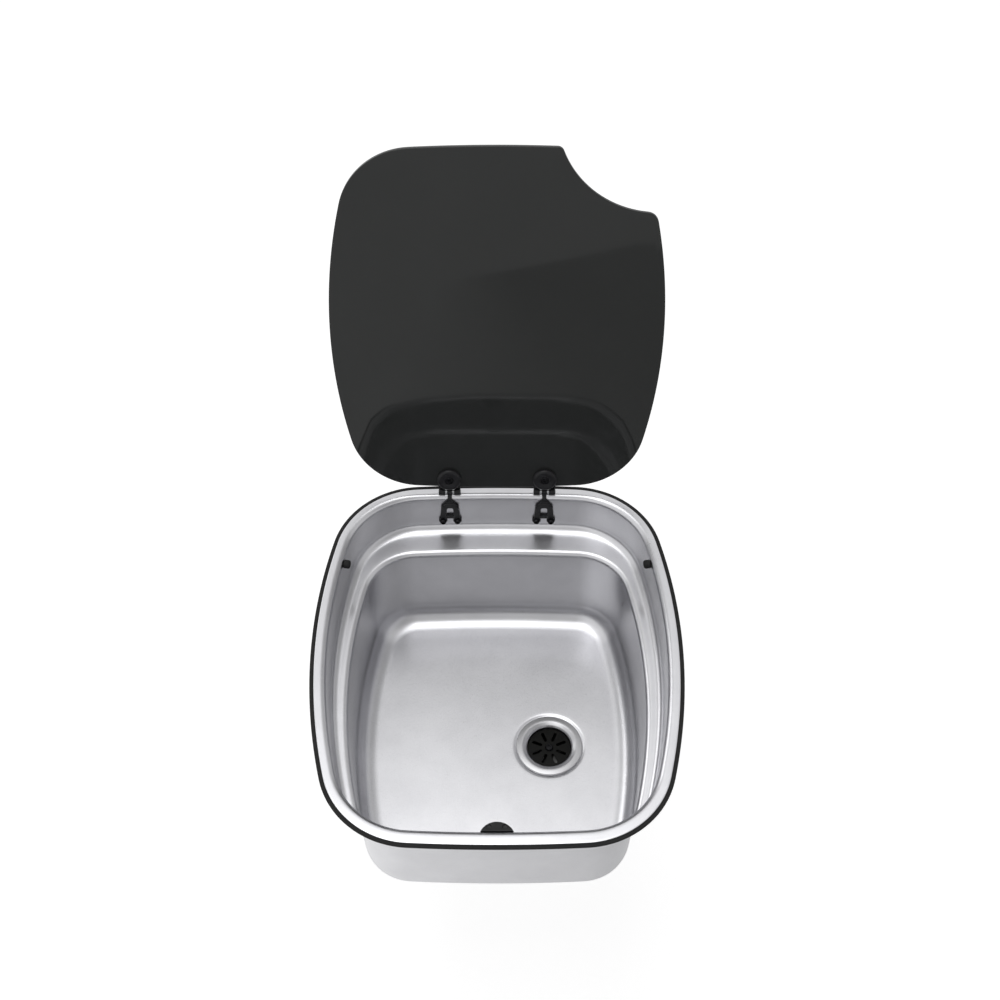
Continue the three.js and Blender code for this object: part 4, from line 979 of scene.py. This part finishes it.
def make_leaf(side, centre_x):
    """The lid's half of the hinge: a round pad on the glass and two arms with knuckles."""
    clamp_y = PIVOT_Y - CLAMP_SETBACK
    into_pad = clamp_y + CLAMP_RADIUS / 2
    inner = BARREL_WIDTH / 2 + BARE_PIN + SEAT
    pad = disc_profile(CLAMP_RADIUS, LEAF_FOOT, LEAF_TOP, 0.2, 0.9)
    at_clamp = LID_OPEN @ Matrix.Translation((centre_x, clamp_y, 0))
    leaf = turned_piece(f"{side}_lid_arm", pad, plastic, at_clamp)

    def opened(y, z):
        """The point of the closed lid that lies y and z from the pivot once the lid is open."""
        c, s = cos(OPEN_ANGLE), sin(OPEN_ANGLE)
        return (PIVOT_Y + y * c - z * s, PIVOT_Z + y * s + z * c)

    arm = [
        (into_pad, LEAF_FOOT),
        (PIVOT_Y, LEAF_FOOT),
        (PIVOT_Y, PIVOT_Z + KNUCKLE_RADIUS),
        (into_pad, LEAF_TOP),
    ]
    heel = [
        opened(0, 0),
        opened(0, -KNUCKLE_RADIUS),
        opened(STOP_REACH, -KNUCKLE_RADIUS),
        opened(STOP_REACH, 0),
    ]
    parts = []
    along_x = LID_OPEN @ ALONG["x"]
    for sign in (-1, 1):
        ends = sorted([centre_x + sign * inner, centre_x + sign * (inner + KNUCKLE_WIDTH)])
        parts.append(prism_piece("arm", arm, *ends, plastic, along_x))
        parts.append(prism_piece("heel", heel, *ends, plastic, along_x))
        parts.append(bar_piece(
            "knuckle", "x", KNUCKLE_RADIUS, *ends, (0, PIVOT_Y, PIVOT_Z), plastic, 0.3, LID_OPEN
        ))
    moulded(leaf, parts, plastic)
    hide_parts(f"{side}_hinge_leaf")
    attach(leaf, "lid")


def make_pin(side, centre_x):
    reach = BARREL_WIDTH / 2 + BARE_PIN + SEAT + KNUCKLE_WIDTH + PIN_OVERHANG
    pin = bar_piece(
        f"{side}_pivot_pin", "x", PIN_RADIUS, -reach, reach, (centre_x, PIVOT_Y, PIVOT_Z), zinc, edge=0.4
    )
    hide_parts(f"{side}_hinge_pin")
    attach(pin, "root")


# ---- What the closed lid lands on ----

def make_buffer(side, sign):
    """A push-in rubber buffer: a domed head, a neck through the wall and a barbed tail."""
    z = -(BUFFER_RADIUS + SEAT)
    radius = RECESS.side_radius - recess_inset(z)
    angle = asin((BUFFER_Y - RECESS.centre_y) / radius)
    x = RECESS.side[0] + radius * cos(angle)
    tail = SHEET + BUFFER_TAIL_STANDOFF
    profile = [
        (0, -BUFFER_REACH),
        (BUFFER_RADIUS, -BUFFER_REACH, 2.2),
        (BUFFER_RADIUS, -SEAT * 2, 0.3),
        (BUFFER_STEM_RADIUS, -SEAT * 2),
        (BUFFER_STEM_RADIUS, tail),
        (BUFFER_TAIL_RADIUS, tail, 0.2),
        (BUFFER_STEM_RADIUS, tail + BUFFER_TAIL_LENGTH, 0.3),
        (0, tail + BUFFER_TAIL_LENGTH),
    ]
    turn = angle if sign > 0 else pi - angle
    place = (
        Matrix.Translation((sign * x, BUFFER_Y, z))
        @ Matrix.Rotation(turn, 4, "Z")
        @ Matrix.Rotation(pi / 2, 4, "Y")
    )
    piece = turned_piece(f"{side}_buffer", profile, rubber, place, SMALL_TURN_STEPS)
    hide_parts(f"{side}_lid_buffer")
    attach(piece, "root")


def make_front_rest():
    """A half-moon support with two shallow dimples, fitted to the recess wall."""
    wall = RECESS.centre_y - RECESS.back_y(WALL_TOP_INSET, 0)
    radius = ((REST_WIDTH / 2) ** 2 + REST_REACH ** 2) / (2 * REST_REACH)
    centre_y = wall + REST_REACH - radius
    top = -SEAT
    foot = top - REST_HEIGHT
    half = asin(REST_WIDTH / 2 / radius)
    curve = arc_points((0, centre_y), radius, pi / 2 - half, pi / 2 + half, REST_FRONT_STEPS)
    levels = []
    for z in (foot, top):
        outline = [(x, max(y, wall_front(z, x) + SEAT), z) for x, y in curve]
        for k in range(1, REST_BACK_STEPS):
            x = curve[-1][0] + (curve[0][0] - curve[-1][0]) * k / REST_BACK_STEPS
            outline.append((x, wall_front(z, x) + SEAT, z))
        levels.append(outline)
    rest = loft_piece("lid_rest", levels, plastic)
    dimple = disc_profile(REST_DIMPLE_RADIUS, top - REST_DIMPLE_DEPTH, 2 * OVERCUT, 0.6)
    dimples = []
    for sign in (-1, 1):
        place = (sign * REST_SCREW_SPREAD / 2, wall + REST_REACH / 2 - SEAT, 0)
        dimples.append(turned_piece("dimple", dimple, plastic, Matrix.Translation(place), DIMPLE_STEPS))
    combine(rest, dimples, "DIFFERENCE")
    soften(rest, 0.6, plastic)
    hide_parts("front_lid_rest")
    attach(rest, "root")


# ---- Waste ----

FLANGE_FOOT = DISH_FLOOR + SEAT + FLOOR_SEAL_THICKNESS + SEAT
FLANGE_TOP = FLANGE_FOOT + FLANGE_THICKNESS
SKIRT_FOOT = FLANGE_TOP - SKIRT_DEPTH
SKIRT_RADIUS = FLANGE_BORE_RADIUS + FLANGE_THICKNESS
STRAINER_FOOT = SKIRT_FOOT + FLANGE_THICKNESS + SEAT
STRAINER_TOP = STRAINER_FOOT + STRAINER_THICKNESS
HUB_FOOT = STRAINER_FOOT - HUB_LENGTH
BOSS_TOP = HUB_FOOT - SEAT
BOSS_FOOT = BOSS_TOP - BOSS_LENGTH
BODY_TOP = DISH_FLOOR - SHEET - SEAT - BODY_SEAL_THICKNESS - SEAT
CUP_RADIUS = SKIRT_RADIUS + SEAT * 2
CUP_FOOT = BODY_TOP - CUP_DEPTH
SPIGOT_TOP = CUP_FOOT - CUP_CONE
SPIGOT_FOOT = SPIGOT_TOP - SPIGOT_LENGTH
AT_DRAIN = Matrix.Translation((DRAIN_X, DRAIN_Y, 0))


def make_flange():
    edge_radius = FLANGE_RADIUS - FLANGE_EDGE_THICKNESS
    edge_foot = DISH_FLOOR + FLANGE_EDGE_GAP
    lip_radius = FLANGE_BORE_RADIUS - FLANGE_LIP
    lip_top = SKIRT_FOOT + FLANGE_THICKNESS
    profile = [
        (edge_radius, FLANGE_FOOT, 0.2),
        (edge_radius, edge_foot, 0.1),
        (FLANGE_RADIUS, edge_foot, 0.1),
        (FLANGE_RADIUS, FLANGE_TOP - FLANGE_FALL, 0.7),
        (FLANGE_CROWN_RADIUS, FLANGE_TOP, 6),
        (FLANGE_MOUTH_RADIUS, FLANGE_TOP, 1.5),
        (SKIRT_RADIUS + FLANGE_THROAT_STEP, FLANGE_TOP - FLANGE_THROAT_DROP, 1.5),
        (FLANGE_BORE_RADIUS, FLANGE_TOP - FLANGE_BORE_DROP, 1.0),
        (FLANGE_BORE_RADIUS, lip_top, 0.3),
        (lip_radius, lip_top, 0.3),
        (lip_radius, SKIRT_FOOT, 0.2),
        (SKIRT_RADIUS, SKIRT_FOOT, 0.6),
        (SKIRT_RADIUS, FLANGE_FOOT - FLANGE_NECK_DROP, 0.8),
        (DRAIN_HOLE_RADIUS - SEAT, FLANGE_FOOT - FLANGE_SEAT_DROP, 1.5),
        (DRAIN_HOLE_RADIUS + FLANGE_THICKNESS, FLANGE_FOOT, 0.5),
    ]
    flange = turned_piece("waste_ring", profile, drain_steel, AT_DRAIN, sharp=50)
    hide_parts("drain_flange")
    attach(flange, "root")


def make_strainer():
    """A slotted plate on a hub, and the screw in its middle."""
    plate_radius = FLANGE_BORE_RADIUS - SEAT
    profile = [
        (0, HUB_FOOT),
        (HUB_RADIUS, HUB_FOOT, 0.4),
        (HUB_RADIUS, STRAINER_FOOT),
        (plate_radius, STRAINER_FOOT, 0.2),
        (plate_radius, STRAINER_TOP, 0.7),
        (0, STRAINER_TOP),
    ]
    strainer = turned_piece("waste_strainer", profile, drain_plastic, AT_DRAIN)
    slots = []
    rounding = SLOT_WIDTH / 2
    near = SLOT_INNER + rounding
    far = SLOT_OUTER - rounding
    for k in range(SLOT_COUNT):
        angle = (k + 0.5) * 2 * pi / SLOT_COUNT
        start = (near * cos(angle), near * sin(angle))
        end = (far * cos(angle), far * sin(angle))
        slots.append(prism_piece(
            "slot", link_outline(start, end, rounding), STRAINER_FOOT - OVERCUT, STRAINER_TOP + OVERCUT,
            drain_plastic, AT_DRAIN,
        ))
    combine(strainer, slots, "DIFFERENCE")
    soften(strainer, 0.3, drain_plastic, segments=2)
    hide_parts("drain_strainer")
    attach(strainer, "root")

    seat = STRAINER_TOP + SEAT
    crown = seat + DRAIN_HEAD_HEIGHT
    profile = socket(crown, *DRAIN_SOCKET) + [
        (DRAIN_HEAD_RADIUS * DRAIN_HEAD_FLAT, crown, 0.7),
        (DRAIN_HEAD_RADIUS, seat, 0.3),
        (DRAIN_SCREW_RADIUS, seat),
        (DRAIN_SCREW_RADIUS, BOSS_FOOT + SEAT, 0.3),
        (0, BOSS_FOOT + SEAT),
    ]
    screw = turned_piece("waste_screw", profile, black_steel, AT_DRAIN, SMALL_TURN_STEPS)
    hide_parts("drain_screw")
    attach(screw, "root")


def make_waste_body():
    outer = CUP_RADIUS + CUP_WALL
    barbs = []
    for k in range(BARB_COUNT):
        foot = SPIGOT_FOOT + BARB_PITCH * k
        barbs += [
            (SPIGOT_RADIUS + BARB_HEIGHT, foot + BARB_PITCH / 2),
            (SPIGOT_RADIUS, foot + BARB_PITCH / 2 + BARB_HEIGHT),
            (SPIGOT_RADIUS, foot + BARB_PITCH),
        ]
    profile = [
        (CUP_RADIUS, BODY_TOP),
        (CUP_RADIUS, CUP_FOOT),
        (SPIGOT_RADIUS - SPIGOT_WALL, SPIGOT_TOP),
        (SPIGOT_RADIUS - SPIGOT_WALL, SPIGOT_FOOT),
        (SPIGOT_RADIUS, SPIGOT_FOOT),
        *barbs,
        (SPIGOT_RADIUS, SPIGOT_TOP - SPIGOT_WALL),
        (outer, CUP_FOOT - SPIGOT_WALL),
        (outer, BODY_TOP - BODY_FLANGE_THICKNESS),
        (BODY_FLANGE_RADIUS, BODY_TOP - BODY_FLANGE_THICKNESS),
        (BODY_FLANGE_RADIUS, BODY_TOP),
    ]
    profile = [(radius, height, CUP_ROUNDING) for radius, height in profile]
    body = turned_piece("waste_cup", profile, drain_plastic, AT_DRAIN, bend_steps=3)
    boss = bar_piece("boss", "z", HUB_RADIUS, BOSS_FOOT, BOSS_TOP, (DRAIN_X, DRAIN_Y, 0), drain_plastic)
    reach = CUP_RADIUS + CUP_WALL / 2
    ribs = []
    for k in range(RIB_COUNT):
        angle = k * 2 * pi / RIB_COUNT
        across = Vector((-sin(angle), cos(angle))) * RIB_HALF_THICKNESS
        out = Vector((cos(angle), sin(angle))) * reach
        corners = (-across, out - across, out + across, across)
        ribs.append(prism_piece(
            "rib", corners, BOSS_TOP - RIB_HEIGHT, BOSS_TOP, drain_plastic, AT_DRAIN
        ))
    combine(body, [boss, *ribs], "UNION")
    finish_mesh(body.data, drain_plastic, sharp=40)
    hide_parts("waste_body")
    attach(body, "root")


# ---- Studio ----

# Levels of the white room, where 1 is white. The headings are directions out from the sink.
ROOM_LEVEL = 0.55
FLOOR_LEVEL = -0.5  # this and the reach in metres
FLOOR_REACH = 8.0
UNIT_SQUARE = ((-1, -1), (1, -1), (1, 1), (-1, 1))
FLOOR_CAMERA_GLOW = 0.6
FLOOR_REFLECTED_GLOW = 0.62
FLOOR_RIGHT_START = -0.4
FLOOR_RIGHT_END = 0.35
FLOOR_RIGHT_LEVEL = 0.3
FRONT_HEADING = (0.28, -0.58, 0.76)
FRONT_START = 0.766
FRONT_END = 0.966
FRONT_LEVEL = 0.54
RIGHT_HEADING = (1.0, 0.0, 0.0)
RIGHT_START = 0.1
RIGHT_END = 0.55
RIGHT_LEVEL = 0.72


def combined(tree, operation, first, second):
    """The product of two values, or the larger one. For two switches that is on where either is."""
    node = tree.nodes.new("ShaderNodeMath")
    node.operation = operation
    tree.links.new(first, node.inputs[0])
    tree.links.new(second, node.inputs[1])
    return node.outputs[0]


def dimmed(tree, place, heading, start, end, level):
    """1 up to a start along a heading, then falling to a level at the end."""
    along = tree.nodes.new("ShaderNodeVectorMath")
    along.operation = "DOT_PRODUCT"
    along.inputs[1].default_value = heading
    tree.links.new(place, along.inputs[0])
    return value_range(tree, along.outputs["Value"], 1.0, level, start, end)


def ray_kinds(tree):
    """Whether a ray comes from the camera, and whether it comes off or through something."""
    path = tree.nodes.new("ShaderNodeLightPath").outputs
    reflected = combined(tree, "MAXIMUM", path["Is Glossy Ray"], path["Is Transmission Ray"])
    return path["Is Camera Ray"], reflected


def make_floor():
    """A white floor that glows for the camera, and less for what reflects it or looks through glass."""
    material, tree, shader = node_material("studio_floor")
    shader.inputs["Base Color"].default_value = (0.8, 0.8, 0.8, 1)
    shader.inputs["Roughness"].default_value = 0.9
    shader.inputs["Specular IOR Level"].default_value = 0.0
    camera_ray, reflected = ray_kinds(tree)
    camera_glow = value_range(tree, camera_ray, 0, FLOOR_CAMERA_GLOW, 0, 1)
    place = tree.nodes.new("ShaderNodeTexCoord").outputs["Object"]
    right = dimmed(tree, place, RIGHT_HEADING, FLOOR_RIGHT_START, FLOOR_RIGHT_END, FLOOR_RIGHT_LEVEL)
    reflected = combined(tree, "MULTIPLY", reflected, right)
    reflected_glow = value_range(tree, reflected, 0, FLOOR_REFLECTED_GLOW, 0, 1)
    strength = combined(tree, "MAXIMUM", camera_glow, reflected_glow)
    glow = add_node(tree, "ShaderNodeEmission", strength=strength)
    both = tree.nodes.new("ShaderNodeAddShader")
    tree.links.new(shader.outputs[0], both.inputs[0])
    tree.links.new(glow.outputs[0], both.inputs[1])
    tree.links.new(both.outputs[0], tree.nodes["Material Output"].inputs["Surface"])
    mesh = bpy.data.meshes.new("floor")
    corners = [(x * FLOOR_REACH, y * FLOOR_REACH, FLOOR_LEVEL) for x, y in UNIT_SQUARE]
    mesh.from_pydata(corners, [], [(0, 1, 2, 3)])
    mesh.materials.append(material)
    floor = add_object("floor", mesh)


def make_world():
    """A white room. What reflects it finds it darker in front, where people stand, and to the right."""
    world = bpy.data.worlds.new("studio")
    world.use_nodes = True
    bpy.context.scene.world = world
    tree = world.node_tree
    camera_ray, reflected = ray_kinds(tree)
    seen = combined(tree, "MAXIMUM", camera_ray, reflected)
    level = value_range(tree, seen, ROOM_LEVEL, 1.0, 0, 1)
    direction = tree.nodes.new("ShaderNodeTexCoord").outputs["Generated"]
    front = dimmed(tree, direction, FRONT_HEADING, FRONT_START, FRONT_END, FRONT_LEVEL)
    right = dimmed(tree, direction, RIGHT_HEADING, RIGHT_START, RIGHT_END, RIGHT_LEVEL)
    shade = combined(tree, "MULTIPLY", front, right)
    room = combined(tree, "MAXIMUM", camera_ray, shade)
    background = tree.nodes["Background"]
    background.inputs["Color"].default_value = (1, 1, 1, 1)
    tree.links.new(combined(tree, "MULTIPLY", level, room), background.inputs["Strength"])


def make_lamp(name, place, target, size, power):
    data = bpy.data.lights.new(name, "AREA")
    data.shape = "RECTANGLE"
    data.size = size[0]
    data.size_y = size[1]
    data.energy = power
    lamp = add_object(name, data)
    lamp.location = place
    direction = Vector(target) - Vector(place)
    lamp.rotation_euler = direction.to_track_quat("-Z", "Y").to_euler()


CAMERA_ELEVATION = radians(53.38)
CAMERA_DISTANCE = 1.842
CAMERA_TARGET_Y = 0.1895
CAMERA_SHIFT = (0.003, 0.0015)
LENS = 62.75


def make_camera():
    data = bpy.data.cameras.new("camera")
    data.sensor_width = 36
    data.lens = LENS
    data.shift_x, data.shift_y = CAMERA_SHIFT
    data.clip_start = 0.01
    data.clip_end = 100
    camera = add_object("camera", data)
    camera.location = (
        0,
        CAMERA_TARGET_Y - CAMERA_DISTANCE * cos(CAMERA_ELEVATION),
        CAMERA_DISTANCE * sin(CAMERA_ELEVATION),
    )
    camera.rotation_euler = (pi / 2 - CAMERA_ELEVATION, 0, 0)
    bpy.context.scene.camera = camera


def dress_kept_nodes():
    """Materials for the nodes that keep their own shape."""
    kept = {
        "drain_floor_seal": rubber,
        "drain_body_seal": rubber,
        "front_rest_screw_1": zinc,
        "front_rest_screw_2": zinc,
    }
    for side in ("left", "right"):
        kept[f"{side}_hinge_front_pad"] = rubber
        kept[f"{side}_hinge_rear_pad"] = rubber
    for name, material in kept.items():
        slots = frame["nodes"][name].data.materials
        for index in range(len(slots)):
            slots[index] = material


bpy.context.scene.view_settings.view_transform = "Standard"
make_camera()
make_basin()
make_gasket()
make_glass()
for hinge_side, hinge_sign in (("left", -1), ("right", 1)):
    hinge_x = hinge_sign * HINGE_SPACING / 2
    make_bracket(hinge_side, hinge_x)
    make_bracket_screws(hinge_side, hinge_x)
    make_pin(hinge_side, hinge_x)
    make_leaf(hinge_side, hinge_x)
    make_clamp_disc(hinge_side, hinge_x)
    make_buffer(hinge_side, hinge_sign)
make_front_rest()
make_flange()
make_strainer()
make_waste_body()
dress_kept_nodes()
make_floor()
make_world()
make_lamp("softbox", (-0.2, 0.0, 2.1), target=(0, 0, 0), size=(1.6, 1.1), power=10)
make_lamp("left_softbox", (-1.45, 1.32, 1.03), target=(0, 0, -0.05), size=(0.8, 1.0), power=4)
